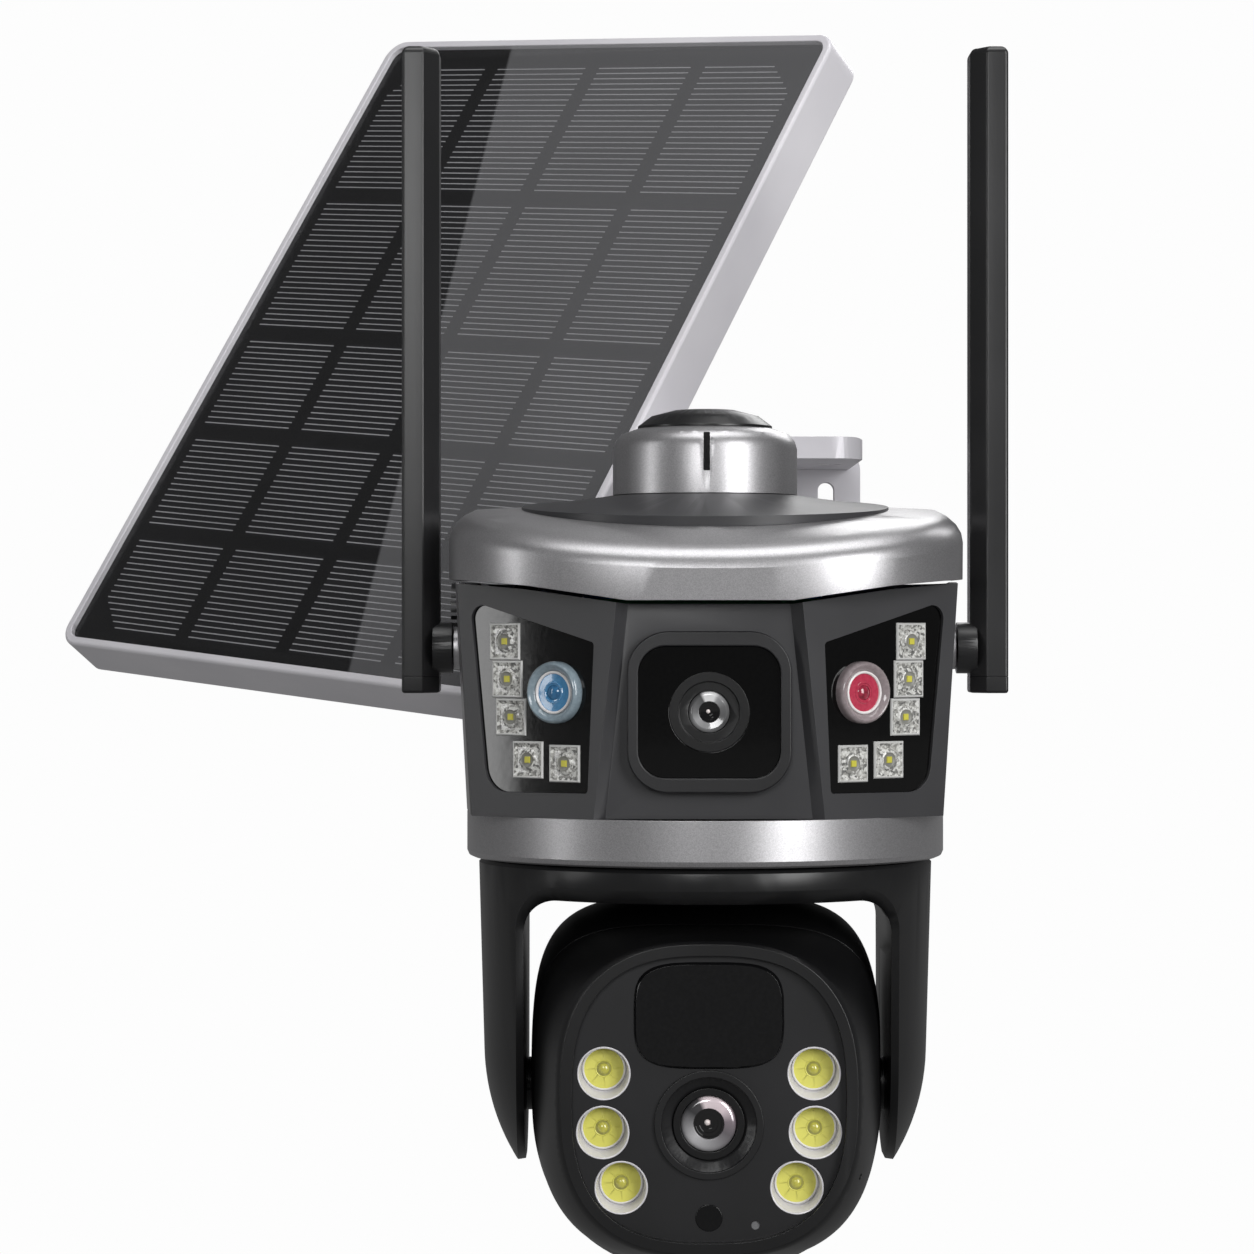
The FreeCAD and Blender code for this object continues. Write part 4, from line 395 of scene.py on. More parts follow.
SHELLS = [
    ("visor", SILVER_PAINT, 0.5), ("lower_band", SILVER_PAINT, 0.4),
    ("rear_shell", SILVER_PAINT, 0.3), ("collar_ring", SILVER_PAINT, 0.3),
    ("face_shell", CHARCOAL_ABS, 0.4), ("top_cover", CHARCOAL_ABS, 0.4),
    ("lens_bezel", FACE_ABS, 0.45), ("collar_cap", TRIM_ABS, 0.2),
    ("yoke_shell", BLACK_ABS, 0.5), ("ball_rear_shell", BLACK_ABS, 0.4),
    ("ball_front_shell", BLACK_ABS, 0.5), ("face_plate", FACE_ABS, 0.15),
    ("bracket", BRACKET_PAINT, 0.6), ("panel_frame", WHITE_PC, 0.4),
    ("panel_arm", BRACKET_PAINT, 0.4),
    ("panel_post", BRACKET_PAINT, 0.4), ("left_antenna", ANTENNA_ABS, 0.3),
    ("right_antenna", ANTENNA_ABS, 0.3), ("left_antenna_cap", ANTENNA_ABS, 0.2),
    ("right_antenna_cap", ANTENNA_ABS, 0.2), ("junction_box", TRIM_ABS, 0.6),
    ("lens_window", BLACK_ACRYLIC, 0.2), ("left_window", BLACK_ACRYLIC, 0.15),
    ("right_window", BLACK_ACRYLIC, 0.15), ("motion_window", PIR_WINDOW, 0.25),
    ("axle_plates", BLACK_ABS, 0.2), ("speaker_grille", TRIM_ABS, 0.15),
    ("knuckle_bolt", TRIM_ABS, 0.4), ("post_nut", ZINC_STEEL, 0.3),
    ("power_button", BUTTON_RUBBER, 0.3), ("charging_socket", TRIM_ABS, 0.2),
]
for node, finish, rim in SHELLS:
    dressed(node, finish, rim)

INSIDE = {
    "collar_screws": ZINC_STEEL, "swivel_retainer": TRIM_ABS, "upper_sensor_board": SOLDER_MASK,
    "side_led_boards": SOLDER_MASK, "band_screws": ZINC_STEEL, "main_board": SOLDER_MASK,
    "battery_cells": CELL_WRAP, "speaker": TRIM_ABS, "pan_motor": ZINC_STEEL,
    "pan_pinion": GEAR_ACETAL, "pan_gear": GEAR_ACETAL, "tilt_gear": GEAR_ACETAL,
    "ball_board": SOLDER_MASK, "tilt_motor": ZINC_STEEL, "tilt_pinion": GEAR_ACETAL,
}
for node, finish in INSIDE.items():
    repaint(node, finish)
print(f"{len(SHELLS)} shells dressed, {len(INSIDE)} inner pieces repainted")

# %% [markdown]
# ## Solar cells
#
# A small panel is a dark laminate with strips of monocrystalline silicon. Fine silver
# lines, the fingers, run across each strip and collect its current. There are a few
# hundred of them, all alike, which is the work for Geometry Nodes: a point for each
# finger, a thin bar on each point, and a length that the point carries with it.

# %% Where the panel is
panel_points = [v.co for v in NODES["panel_glass"].data.vertices]
YAW_P, PITCH_P, ROLL_P = (math.radians(a) for a in (-37.7, -33.2, 5.8))
PANEL_TURN = (Matrix.Rotation(YAW_P, 4, "Z") @ Matrix.Rotation(PITCH_P, 4, "X")
              @ Matrix.Rotation(ROLL_P, 4, "Y"))
# The CAD's panel faces -y before it is turned; the last matrix swaps that for +z.
panel_local = [PANEL_TURN.inverted() @ p for p in panel_points]
panel_middle = middle(panel_local)
PANEL_FRONT = min(p.y for p in panel_local)
PANEL = PANEL_TURN @ Matrix.Translation(Vector((panel_middle.x, PANEL_FRONT, panel_middle.z)))
PANEL = PANEL @ Matrix(((1, 0, 0, 0), (0, 0, -1, 0), (0, 1, 0, 0), (0, 0, 0, 1)))
print("panel is", [round((max(p[i] for p in panel_local) - min(p[i] for p in panel_local)) / MM, 1)
                   for i in range(3)], "mm, glass front at", round(PANEL_FRONT, 4))

# %% Cell and laminate finishes
CELL = moulded("monocrystalline_silicon", "#0a0a0c", "#101013", 0.22, 1.2, 0.004)
LAMINATE = moulded("black_back_sheet", "#020202", "#040405", 0.25, 0.8, 0.004)
FINGER = moulded("silver_paste", "#a5a5a8", "#b9b9bc", 0.4, 0.5, 0.004, 0.5)

# %% Lay out the strips of silicon
COLUMNS, CELL_WIDE, CELL_GAP = 4, 43.0, 6.6
ROWS = [(57.6, 24), (57.6, 24), (38.4, 16), (38.4, 16), (38.4, 16)]
ROW_GAP, TOP_MARGIN = 5.4, 8.5
CHAMFER = (13.0, 12.5)
PANEL_TALL = 265.6
field_wide = COLUMNS * CELL_WIDE + (COLUMNS - 1) * CELL_GAP
field_left, field_top = -field_wide / 2, PANEL_TALL / 2 - TOP_MARGIN
field_bottom = field_top - sum(h for h, _ in ROWS) - ROW_GAP * (len(ROWS) - 1)


def clipped(x_low, x_high, y):
    """Shorten a line where the field's corners are cut off."""
    reach = max(0, 1 - min(field_top - y, y - field_bottom) / CHAMFER[1]) * CHAMFER[0]
    return max(x_low, field_left + reach), min(x_high, -field_left - reach)


fingers, strips = [], []
for column in range(COLUMNS):
    x_low = field_left + column * (CELL_WIDE + CELL_GAP)
    x_high, top = x_low + CELL_WIDE, field_top
    for height, count in ROWS:
        strips.append((x_low, x_high, top - height, top))
        for i in range(count):
            y = top - height * (i + 0.5) / count
            a, b = clipped(x_low, x_high, y)
            fingers.append(((a + b) / 2, y, b - a))
        top -= height + ROW_GAP
print(f"{len(fingers)} fingers on {len(strips)} strips")


# %% A tree that lays bars on points
def bars_on_points(name, wide_mm, thick_mm):
    tree = bpy.data.node_groups.new(name, "GeometryNodeTree")
    for label, kind, way in (("Geometry", "NodeSocketGeometry", "INPUT"),
                             ("Bar width", "NodeSocketFloat", "INPUT"),
                             ("Bar height", "NodeSocketFloat", "INPUT"),
                             ("Finish", "NodeSocketMaterial", "INPUT"),
                             ("Geometry", "NodeSocketGeometry", "OUTPUT")):
        tree.interface.new_socket(name=label, in_out=way, socket_type=kind)
    given = add(tree, "NodeGroupInput")
    size = add(tree, "ShaderNodeCombineXYZ", {"X": 1.0, "Y": given.outputs["Bar width"],
                                              "Z": given.outputs["Bar height"]})
    bar = add(tree, "GeometryNodeMeshCube", {"Size": size.outputs["Vector"]})
    reach = add(tree, "GeometryNodeInputNamedAttribute", {"Name": "reach"}, data_type="FLOAT")
    stretch = add(tree, "ShaderNodeCombineXYZ",
                  {"X": reach.outputs["Attribute"], "Y": 1.0, "Z": 1.0})
    laid = add(tree, "GeometryNodeInstanceOnPoints",
               {"Points": given.outputs["Geometry"], "Instance": bar.outputs["Mesh"],
                "Scale": stretch.outputs["Vector"]})
    real = add(tree, "GeometryNodeRealizeInstances", {"Geometry": laid.outputs["Instances"]})
    painted = add(tree, "GeometryNodeSetMaterial", {"Geometry": real.outputs["Geometry"],
                                                    "Material": given.outputs["Finish"]})
    add(tree, "NodeGroupOutput", {"Geometry": painted.outputs["Geometry"]})
    keys = {item.name: item.identifier for item in tree.interface.items_tree
            if item.in_out == "INPUT"}
    return tree, keys, {"Bar width": wide_mm * MM, "Bar height": thick_mm * MM}


def grown(name, points, lengths, tree, keys, values, finish):
    """Run a tree on loose points and keep the plain mesh it makes."""
    seeds = bpy.data.meshes.new(name + "_seeds")
    seeds.from_pydata([Vector(p) * MM for p in points], [], [])
    reach = seeds.attributes.new("reach", "FLOAT", "POINT")
    reach.data.foreach_set("value", [length * MM for length in lengths])
    carrier = bpy.data.objects.new(name + "_seeds", seeds)
    bpy.context.scene.collection.objects.link(carrier)
    modifier = carrier.modifiers.new("grow", "NODES")
    modifier.node_group = tree
    for label, value in {**values, "Finish": finish}.items():
        modifier[keys[label]] = value
    depsgraph = bpy.context.evaluated_depsgraph_get()
    mesh = bpy.data.meshes.new_from_object(carrier.evaluated_get(depsgraph))
    carrier.modifiers.clear()
    bpy.data.objects.remove(carrier)
    mesh.name = name
    return mesh


# %% The fingers
# heights in millimetres from the front of the cover glass; the laminate starts at -2
FINGER_LEVEL, STRIP_FRONT, STRIP_BACK = -1.85, -1.88, -2.0
tree, keys, values = bars_on_points("silver_fingers", 0.42, 0.06)
finger_mesh = grown("cell_fingers", [(x, y, FINGER_LEVEL) for x, y, _ in fingers],
                    [length for *_, length in fingers], tree, keys, values, FINGER)
finger_mesh.transform(PANEL)
cell_fingers = bpy.data.objects.new("cell_fingers", finger_mesh)
bpy.context.scene.collection.objects.link(cell_fingers)
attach(cell_fingers, "panel")
print("fingers have", len(finger_mesh.polygons), "faces")

# %% The strips of silicon and the sheet behind them
bm = bmesh.new()
for x_low, x_high, y_low, y_high in strips:
    y0, y1 = y_low, y_high
    (a0, b0), (a1, b1) = clipped(x_low, x_high, y0), clipped(x_low, x_high, y1)
    corner = CHAMFER[1]
    if a0 > x_low + 0.01 or b0 < x_high - 0.01:
        rim = [(a0, y0), (b0, y0), (x_high, y0 + corner * (b0 < x_high)), (x_high, y1), (x_low, y1),
               (x_low, y0 + corner * (a0 > x_low))]
    elif a1 > x_low + 0.01 or b1 < x_high - 0.01:
        rim = [(x_low, y0), (x_high, y0), (x_high, y1 - corner * (b1 < x_high)), (b1, y1), (a1, y1),
               (x_low, y1 - corner * (a1 > x_low))]
    else:
        rim = [(x_low, y0), (x_high, y0), (x_high, y1), (x_low, y1)]
    rim = list(dict.fromkeys(rim))
    front = [bm.verts.new(PANEL @ (Vector((x, y, STRIP_FRONT)) * MM)) for x, y in rim]
    back = [bm.verts.new(PANEL @ (Vector((x, y, STRIP_BACK)) * MM)) for x, y in rim]
    bm.faces.new(front)
    bm.faces.new(back[::-1])
    for i in range(len(rim)):
        j = (i + 1) % len(rim)
        bm.faces.new([front[j], front[i], back[i], back[j]])
finish_piece("silicon_strips", bm, CELL, "panel")
repaint("panel_laminate", LAMINATE)

# %% [markdown]
# ## Cover glass
#
# The glass over the cells is clear, and it mirrors the sky. Its right part carries a painted reflection: a pale
# veil with a straight edge, where the sky's reflection ends. Alpha on the Principled shader keeps the glass thin
# and clear, and a soft step across the pane sets the painted veil.


# %% Cover glass
def glass_with_painted_veil():
    finish, tree, where = start("tempered_glass_painted_veil")
    place = PANEL.inverted()
    across = Vector(place[0][:3])
    up = Vector(place[1][:3])
    start_at = Vector((-43.5, 133.5)) * MM
    stop_at = Vector((36.5, -132.0)) * MM
    run = (stop_at - start_at).normalized()
    square = Vector((-run.y, run.x))
    normal = across * square.x + up * square.y
    offset = place[0][3] * square.x + place[1][3] * square.y - start_at.dot(square)
    dot = add(tree, "ShaderNodeVectorMath", {0: where, 1: normal}, operation="DOT_PRODUCT")
    beyond = add(tree, "ShaderNodeMath", {0: dot.outputs["Value"], 1: offset}, operation="ADD")
    # painted reflection: past a straight line across the pane the alpha rises from 0.02 to 0.2, a pale veil that
    # stands in for the sky's reflection
    step = add(tree, "ShaderNodeMapRange",
               {"Value": beyond.outputs["Value"], "From Min": -0.0006, "From Max": 0.0006,
                "To Min": 0.02, "To Max": 0.2})
    smear = add(tree, "ShaderNodeTexNoise", {"Vector": where, "Scale": 14, "Detail": 2})
    shine = between(tree, smear.outputs["Fac"], 0.03, 0.08)
    shader = add(tree, "ShaderNodeBsdfPrincipled",
                 {"Base Color": linear("#b8b8bb"), "Roughness": shine.outputs["Result"],
                  "Alpha": step.outputs["Result"], "IOR": 1.5})
    end(tree, shader)
    return finish


repaint("panel_glass", glass_with_painted_veil())

# %% [markdown]
# ## The index mark
#
# The collar has one short notch in front, so the head's direction can be read from the ground. A thin gloss-black
# inlay on the notch's floor is painted shade that makes the notch read dark.

# %% Index mark
low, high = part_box("collar_ring")
bm = bmesh.new()
MARK_WIDE, MARK_DEEP, MARK_TALL = 1.9 * MM, 0.4 * MM, 11.4 * MM
MARK_SET_IN, MARK_DROP = 1.1 * MM, 7.9 * MM
mark = Matrix.Translation(Vector((0, low.y + MARK_SET_IN, high.z - MARK_DROP)))
# painted shade: a gloss-black inlay on the notch's floor darkens the notch
bmesh.ops.create_cube(bm, size=1,
                      matrix=mark @ Matrix.Diagonal((MARK_WIDE, MARK_DEEP, MARK_TALL, 1)))
bmesh.ops.bevel(bm, geom=bm.edges[:], offset=0.12 * MM, segments=2, affect="EDGES")
finish_piece("index_notch_shade", bm, GLOSS_BLACK, "bracket")

# %% [markdown]
# ## Lenses
#
# A small camera lens is a stack of black rings with curved glass at the bottom of a well. What the eye sees of the
# glass is mostly reflection on its coated surface, and here that is painted: a pale ring whose tone changes round
# the clock is painted reflection and shade, a dark pupil sits inside it, and one bright point in the middle is a
# painted glint. Each of these is turned on the lathe. The painted tones round the clock come from the angle about
# the lens's own axis, so they stay put when the lens tilts.

# %% Lens finishes
LENS_BLACK = polished("lens_black_anodised", "#060607", "#0b0b0c", 0.30)
RING_DARK = moulded("lens_ring_abs", "#141415", "#1a1a1b", 0.34, 0.4, 0.004)
PUPIL = polished("pupil_glass", "#050405", "#0b090b", 0.05, coat=1.0)
# painted glint: a tiny near-white dome near each lens's centre stands in for a highlight
PAINTED_GLINT = polished("painted_glint", "#e6d6d4", "#f6eeec", 0.1, coat=1.0)


def round_the_clock(name, centre, stops, rough):
    """Coated glass with painted reflection and shade: its tone follows the angle about a level axis. 0 is left,
    0.5 is right.
    """
    finish, tree, where = start(name)
    offset = add(tree, "ShaderNodeVectorMath", {0: where, 1: centre}, operation="SUBTRACT")
    apart = add(tree, "ShaderNodeSeparateXYZ", {"Vector": offset.outputs["Vector"]})
    angle = add(tree, "ShaderNodeMath", {0: apart.outputs["Z"], 1: apart.outputs["X"]},
                operation="ARCTAN2")
    clock = add(tree, "ShaderNodeMapRange", {"Value": angle.outputs["Value"],
                                             "From Min": -math.pi, "From Max": math.pi})
    colour = tone(tree, clock.outputs["Result"], stops)
    swirl = add(tree, "ShaderNodeTexNoise", {"Vector": where, "Scale": 900, "Detail": 2})
    shine = between(tree, swirl.outputs["Fac"], rough, rough + 0.08)
    shader = add(tree, "ShaderNodeBsdfPrincipled",
                 {"Base Color": colour, "Roughness": shine.outputs["Result"], "Metallic": 0.2,
                  "Coat Weight": 1.0, "Coat Roughness": 0.05})
    end(tree, shader)
    return finish


# %% Build a lens
def dome(radius, height, steps, sink):
    """An outline over a spherical cap that starts at height sink, from centre to rim."""
    globe = (radius ** 2 + height ** 2) / (2 * height)
    start_angle = math.asin(radius / globe)
    return [(globe * math.sin(start_angle * i / steps),
             sink + globe * math.cos(start_angle * i / steps) - globe + height)
            for i in range(steps + 1)]


def lens(name, place, radius, pupil, stops, body):
    """A ring with painted reflection and shade, the dark pupil in it, its stepped throat, and a small dome with a
    painted glint.
    """
    coating_and_painted_reflection = round_the_clock(name + "_coating", place @ Vector((0, 0, 0)), stops, 0.12)
    bm = bmesh.new()
    lathe(bm, [(pupil, 0.2), (pupil + 0.15, 0.75), (radius * 0.8, 1.1), (radius * 0.95, 0.6),
               (radius, 0.0), (radius, -1.5)], place)
    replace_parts(finish_piece(name + "_painted_reflection_ring", bm, coating_and_painted_reflection, body),
                name + "_glass")
    bm = bmesh.new()
    lathe(bm, [(0, -0.9), (pupil * 0.35, -0.85), (pupil * 0.36, -0.55), (pupil * 0.6, -0.5),
               (pupil * 0.62, -0.15), (pupil * 0.85, -0.1), (pupil * 0.87, 0.2),
               (pupil, 0.22)], place)
    finish_piece(name + "_pupil", bm, PUPIL, body)
    bm = bmesh.new()
    lathe(bm, dome(pupil * 0.2, pupil * 0.12, 6, -0.86),
          at(place, -0.05 * radius, 0.03 * radius), 24)
    finish_piece(name + "_painted_glint", bm, PAINTED_GLINT, body)


LENS_DROP, LENS_OUT, UPPER_SET_IN = -5.3, 56.6, 1.0 * MM
LOWER_LENS = at(BALL_FACE, 0, LENS_DROP, LENS_OUT)
upper_low, upper_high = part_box("upper_lens_glass")
UPPER_LENS = face_frame(Vector(((upper_low.x + upper_high.x) / 2, upper_low.y + UPPER_SET_IN,
                                (upper_low.z + upper_high.z) / 2)))
# the stops are painted reflection and shade: pink-white or white at the top and pale grey at the lower left are
# painted reflections, the darker greys at the upper left and the right are painted shade
lens("lower_lens", LOWER_LENS, 8.15, 4.4,
     [(0.0, "#8d8c8e"), (0.12, "#c6c5c7"), (0.25, "#a3a2a4"), (0.42, "#6c676b"), (0.52, "#8b7f86"),
      (0.62, "#eedde2"), (0.78, "#f3e4e8"), (0.82, "#4b494b"), (0.9, "#3b3b3d"), (1.0, "#8d8c8e")],
     "ball")
lens("upper_lens", UPPER_LENS, 6.05, 3.0,
     [(0.0, "#757576"), (0.1, "#a8a8a9"), (0.25, "#8e8e8f"), (0.4, "#59595a"), (0.55, "#6f6f70"),
      (0.66, "#a5a5a6"), (0.7, "#f6f6f6"), (0.8, "#f2f2f2"), (0.83, "#5a5a5b"), (1.0, "#757576")],
     "head")
for node, finish in (("lens_ring", RING_DARK), ("lower_lens_barrel", LENS_BLACK),
                     ("upper_lens_barrel", LENS_BLACK)):
    dressed(node, finish, 0.2)

# %% [markdown]
# ## White light LEDs in their cups
#
# Each cup is a white reflector, open to the front. At its bottom sits a yellow disc of
# phosphor in silicone with a clear dome over the chip. The cup leans, so that from the
# front its lower wall shows more than its upper wall.

# %% Phosphor
PHOSPHOR = moulded("phosphor_silicone", "#d6d260", "#dfdb6e", 0.4, 1.0, 0.01)
CUP_RING = moulded("white_silicone_ring", "#ecebe6", "#f4f3ee", 0.35, 1.0, 0.008)
CHIP_DOME = polished("silicone_dome", "#bfba4c", "#d2cd62", 0.06, coat=1.0)
# painted shade: a darker olive ring round the foot of each chip dome
PAINTED_DOME_SHADE = polished("dome_shadow_ring", "#9a974e", "#aca95e", 0.2)

# %% Cups and emitters
cup_spots = []
for points in islands("led_cups"):
    spot = BALL_FACE.inverted() @ middle(points)
    cup_spots.append((spot.x / MM, spot.y / MM))
CUP_FRONT, CUP_DEEP, LEAN = 59.4, 5.4, (0.0, 0.95)
cups, discs, edges, rings, domes = (bmesh.new() for _ in range(5))
for x, y in cup_spots:
    place = at(BALL_FACE, x, y, CUP_FRONT)
    closed_lathe(cups, [(7.75, 0.0), (7.6, 0.15), (7.3, 0.05), (6.45, -CUP_DEEP),
                        (6.5, -CUP_DEEP - 0.6), (7.75, -CUP_DEEP - 0.6)], place, 56, LEAN)
    floor = at(place, LEAN[0], LEAN[1], -CUP_DEEP)
    lathe(cups, [(0, -0.2), (6.7, -0.2)], floor, 56)
    lathe(edges, [(5.75, 0.7), (6.1, 0.62), (6.3, 0.4), (6.3, -0.2)], floor, 48)
    lathe(discs, [(2.6, 0.75), (5.75, 0.7)], floor, 48)
    lathe(discs, [(2.15, 0.8), (2.4, 0.95), (2.6, 0.75)], floor, 40)
    lathe(rings, [(1.55, 1.15), (2.0, 0.9), (2.15, 0.8)], floor, 40)
    lathe(domes, dome(1.62, 0.75, 6, 1.0) + [(1.6, 0.7)], floor, 40)
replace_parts(finish_piece("reflector_cups", cups, CUP_PC, "ball"), "led_cups")
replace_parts(finish_piece("phosphor_discs", discs, PHOSPHOR, "ball"), "led_emitters")
finish_piece("cup_rings", edges, CUP_RING, "ball")
finish_piece("dome_rings", rings, PAINTED_DOME_SHADE, "ball")
finish_piece("chip_domes", domes, CHIP_DOME, "ball")
print("cups at", [(round(x, 1), round(y, 1)) for x, y in cup_spots])

# %% [markdown]
# ## Square LED lenses
#
# Beside the camera window sit ten square lenses of clear acrylic. Their backs are full
# of small facets that scatter the light, so they sparkle white and grey, with the yellow
# chip in the middle. The facets are a cellular pattern in the finish, and the lens itself
# has real edges, a round boss and a chip that stands under it.


# %% Clear faceted acrylic
def faceted_acrylic():
    finish, tree, where = start("faceted_acrylic")
    cells = add(tree, "ShaderNodeTexVoronoi", {"Vector": where, "Scale": 1 / (0.7 * MM)})
    fine = add(tree, "ShaderNodeTexNoise", {"Vector": where, "Scale": 1 / (0.7 * MM), "Detail": 4,
                                            "Roughness": 0.7})
    level = add(tree, "ShaderNodeSeparateColor", {"Color": cells.outputs["Color"]})
    mixed = add(tree, "ShaderNodeMath", {0: level.outputs["Red"], 1: fine.outputs["Fac"]},
                operation="MULTIPLY")
    colour = tone(tree, mixed.outputs["Value"],
                  [(0.05, "#6e6e6c"), (0.2, "#a5a49f"), (0.42, "#dcdcd8")])
    bump = add(tree, "ShaderNodeBump", {"Height": mixed.outputs["Value"], "Distance": 0.12 * MM})
    shader = add(tree, "ShaderNodeBsdfPrincipled",
                 {"Base Color": colour, "Roughness": 0.12, "Normal": bump.outputs["Normal"],
                  "Coat Weight": 0.6, "Coat Roughness": 0.04, "IOR": 1.49})
    end(tree, shader)
    return finish


FACETED = faceted_acrylic()
LENS_EDGE = moulded("acrylic_edge", "#bdbdbb", "#cbcbc9", 0.2, 0.6, 0.004)
CHIP_YELLOW = moulded("led_chip_phosphor", "#bdb63c", "#d2cb4e", 0.4, 0.4, 0.01)
# painted shade: the grey of the shallow well round each chip
CHIP_SHADE = moulded("led_chip_well", "#757570", "#8b8b85", 0.35, 0.5, 0.01)

# %% Square lenses
blocks, borders, wells, chips = (bmesh.new() for _ in range(4))


def square_ring(bm, place, outer, inner, z_outer, z_inner):
    """A square frame between two sizes and heights, in millimetres."""
    loops = []
    for half, z in ((outer / 2, z_outer), (inner / 2, z_inner)):
        loops.append([bm.verts.new(place @ (Vector((half * a, half * b, z)) * MM))
                      for a, b in ((-1, -1), (1, -1), (1, 1), (-1, 1))])
    for i in range(4):
        j = (i + 1) % 4
        bm.faces.new([loops[0][i], loops[0][j], loops[1][j], loops[1][i]])


led_count = 0
for points in islands("side_led_lenses"):
    centre = middle(points)
    side = 1 if centre.x > 0 else -1
    spot = FACET[side].inverted() @ centre
    place = at(FACET[side], spot.x / MM, spot.y / MM, -0.8)
    square_ring(borders, place, 10.8, 10.8, -3.0, 0.0)
    square_ring(borders, place, 10.8, 10.2, 0.0, 0.35)
    square_ring(borders, place, 10.2, 9.6, 0.35, 0.3)
    square_ring(blocks, place, 9.6, 7.4, 0.3, -0.35)
    lathe(blocks, [(5.3, -0.35), (3.4, -0.3), (3.0, 0.25), (2.2, 0.5)], place, 40)
    lathe(wells, [(2.2, 0.5), (1.9, 0.25), (1.5, 0.2)], place, 32)
    lathe(wells, [(1.5, 0.2), (0, 0.2)], place, 32)
    square_ring(chips, place, 1.9, 1.7, 0.2, 0.55)
    bmesh.ops.create_grid(chips, x_segments=1, y_segments=1, size=0.85 * MM,
                          matrix=at(place, 0, 0, 0.55))
    led_count += 1
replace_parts(finish_piece("led_lens_facets", blocks, FACETED, "head"),
            "side_led_lenses")
finish_piece("led_lens_borders", borders, LENS_EDGE, "head")
finish_piece("led_lens_wells", wells, CHIP_SHADE, "head")
finish_piece("led_chips", chips, CHIP_YELLOW, "head")
print(led_count, "square lenses")

# %% [markdown]
# ## Warning lamps
#
# A warning lamp has a smoky clear dome over a coloured disc with a white rim. The dome
# is drawn as a shallow bowl with a raised edge, because that is what the eye sees
# through it: a grey slope outside, a white line, and the colour in the middle.

# %% Warning lamps
LAMP_AT = {}
for name, side in (("left", -1), ("right", 1)):
    lamp_points = [v.co for v in NODES[name + "_warning_lamp"].data.vertices]
    LAMP_AT[name] = FACET[side].inverted() @ middle(lamp_points)
LAMP_TONES = {"left": ("#7b8a93", "#8d9ca5", "#3f7fae", "#4f8fbc", "#2d5f88"),
              "right": ("#8c8183", "#9d9294", "#b0304a", "#c04258", "#7a1f30")}
RING_WHITE = moulded("lamp_rim_white", "#e2dedd", "#efeceb", 0.25, 0.8, 0.004)
for name, side in (("left", -1), ("right", 1)):
    haze_dark, haze_light, colour_dark, colour_light, heart = LAMP_TONES[name]
    place = at(FACET[side], LAMP_AT[name].x / MM, LAMP_AT[name].y / MM, 0)
    smoke = polished(name + "_smoked_dome", haze_dark, haze_light, 0.14, coat=0.6)
    tint = polished(name + "_lamp_tint", colour_dark, colour_light, 0.12, coat=0.8)
    core = polished(name + "_lamp_heart", heart, colour_dark, 0.1, coat=0.8)
    bm = bmesh.new()
    lathe(bm, [(9.08, -2.8), (9.08, 0.4), (8.9, 1.3), (8.5, 1.9), (8.1, 2.1), (7.6, 1.9),
               (6.3, 0.5), (6.1, 0.0)], place, 72)
    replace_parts(finish_piece(name + "_lamp_bowl", bm, smoke, "head"),
                name + "_warning_lamp")
    bm = bmesh.new()
    lathe(bm, [(6.3, 0.4), (6.2, 0.85), (5.85, 1.0), (5.55, 0.8), (5.45, 0.3)], place, 64)
    finish_piece(name + "_lamp_rim", bm, RING_WHITE, "head")
    bm = bmesh.new()
    lathe(bm, [(5.5, 0.35), (3.3, 0.5), (3.1, 0.75), (2.8, 0.75), (2.6, 0.5), (2.2, 0.45)],
          place, 64)
    finish_piece(name + "_lamp_disc", bm, tint, "head")
    bm = bmesh.new()
    lathe(bm, dome(2.25, 0.9, 8, 0.3), place, 48)
    finish_piece(name + "_lamp_heart", bm, core, "head")

# %% [markdown]
# ## Small sensors
#
# Under the lens sit a round light sensor behind dark plastic and a pinhole for the
# microphone, closed by a grey mesh.

# %% Small sensors
MESH_GREY = moulded("microphone_mesh", "#6a6a6c", "#808083", 0.5, 0.25, 0.03)
dressed("light_sensor", GLOSS_BLACK, 0.2)
dressed("microphone", MESH_GREY, 0.1)

# %% [markdown]
# ## Floor and light
#
# The camera hangs in a pale studio over a pale floor that runs out into the white
# behind. A tall soft box on the right is the key, a narrow one on the left is weak, a
# small one stands in front, and two wide ones light the top and the back. The floor and
# the world look white to the camera but cast little light, so dark plastics stay dark.


# %% Floor
def studio_floor():
    finish, tree, where = start("pale_paper")
    offset = add(tree, "ShaderNodeVectorMath", {0: where, 1: Vector((0, PAN.y, 0))},
                 operation="SUBTRACT")
    away = add(tree, "ShaderNodeVectorMath", {0: offset.outputs["Vector"]}, operation="LENGTH")
    fade = add(tree, "ShaderNodeMapRange", {"Value": away.outputs["Value"], "From Min": 0.03,
                                            "From Max": 0.17, "To Min": 0.0, "To Max": 1.0})
    fade.interpolation_type = "SMOOTHSTEP"
    paper = add(tree, "ShaderNodeBsdfDiffuse", {"Color": linear("#f4f4f4")})
    path = add(tree, "ShaderNodeLightPath")
    strength = between(tree, path.outputs["Is Camera Ray"], 0.2, 1.0)
    glow = add(tree, "ShaderNodeEmission", {"Color": linear("#fdfdfd"),
                                            "Strength": strength.outputs["Result"]})
    blend = add(tree, "ShaderNodeMixShader", {"Fac": fade.outputs["Result"]})
    tree.links.new(paper.outputs["BSDF"], blend.inputs[1])
    tree.links.new(glow.outputs["Emission"], blend.inputs[2])
    add(tree, "ShaderNodeOutputMaterial", {"Surface": blend.outputs["Shader"]})
    return finish


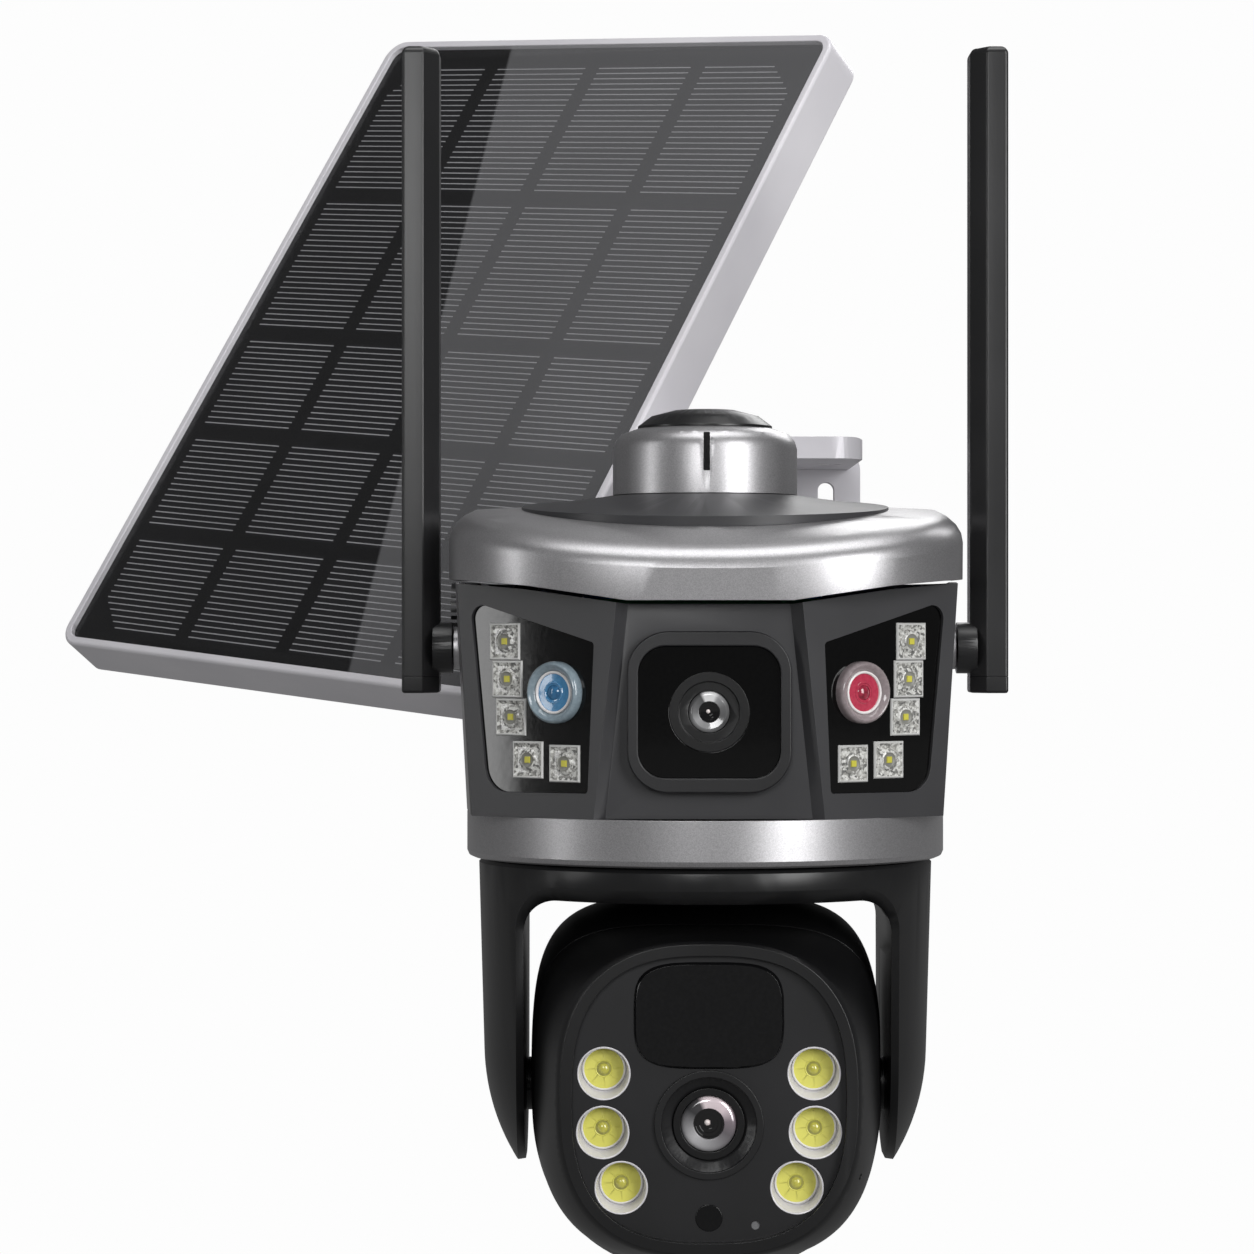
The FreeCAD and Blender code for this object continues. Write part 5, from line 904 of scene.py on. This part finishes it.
floor_mesh = bpy.data.meshes.new("floor")
FLOOR_GAP = 4 * MM
half, level = 6.0, cad_box[0][2] - FLOOR_GAP
floor_mesh.from_pydata([(-half, -half, level), (half, -half, level), (half, half, level),
                        (-half, half, level)], [], [(0, 1, 2, 3)])
floor = bpy.data.objects.new("floor", floor_mesh)
floor.data.materials.append(studio_floor())
bpy.context.scene.collection.objects.link(floor)


# %% Lights
def soft_box(name, spot, aim, wide, tall, power):
    light = bpy.data.lights.new(name, "AREA")
    light.shape = "RECTANGLE"
    light.size, light.size_y, light.energy = wide, tall, power
    lamp = bpy.data.objects.new(name, light)
    lamp.location = spot
    lamp.rotation_euler = (Vector(aim) - Vector(spot)).to_track_quat("-Z", "Y").to_euler()
    bpy.context.scene.collection.objects.link(lamp)


AIM = (0, PAN.y, -0.05)
soft_box("key_right", (0.95, -1.45, 0.35), AIM, 0.6, 1.1, 17)
soft_box("front", (-0.25, -1.9, 0.45), AIM, 0.5, 0.5, 6)
soft_box("left_strip", (-1.2, -0.7, 0.2), AIM, 0.15, 1.0, 2.5)
soft_box("top", (0.1, -0.45, 1.2), AIM, 1.2, 0.7, 9)
soft_box("rim_back", (0.5, 0.9, 0.8), AIM, 1.0, 0.6, 6)

world = bpy.data.worlds.new("studio")
bpy.context.scene.world = world
world.use_nodes = True
sky = world.node_tree
sky.nodes.clear()
path = add(sky, "ShaderNodeLightPath")
seen = add(sky, "ShaderNodeBackground", {"Color": linear("#fdfdfd"), "Strength": 1.0})
cast = add(sky, "ShaderNodeBackground", {"Color": linear("#d8d8da"), "Strength": 0.16})
chosen = add(sky, "ShaderNodeMixShader", {"Fac": path.outputs["Is Camera Ray"]})
sky.links.new(cast.outputs["Background"], chosen.inputs[1])
sky.links.new(seen.outputs["Background"], chosen.inputs[2])
add(sky, "ShaderNodeOutputWorld", {"Surface": chosen.outputs["Shader"]})

# %% Camera
lens_data = bpy.data.cameras.new("studio_camera")
lens_data.lens, lens_data.sensor_width = 113.3, 36
viewer = bpy.data.objects.new("studio_camera", lens_data)
viewer.location = (-0.0237, -1.509, -0.0126)
viewer.rotation_euler = (math.radians(90), 0, 0)
bpy.context.scene.collection.objects.link(viewer)
bpy.context.scene.camera = viewer
bpy.context.scene.view_settings.view_transform = "Standard"

# %% [markdown]
# ## The size of the CAD
#
# Dressing the model must not make it grow. The box of the CAD is printed here.

# %% Print the CAD box
print("CAD box", [tuple(round(v, 4) for v in c) for c in cad_box])
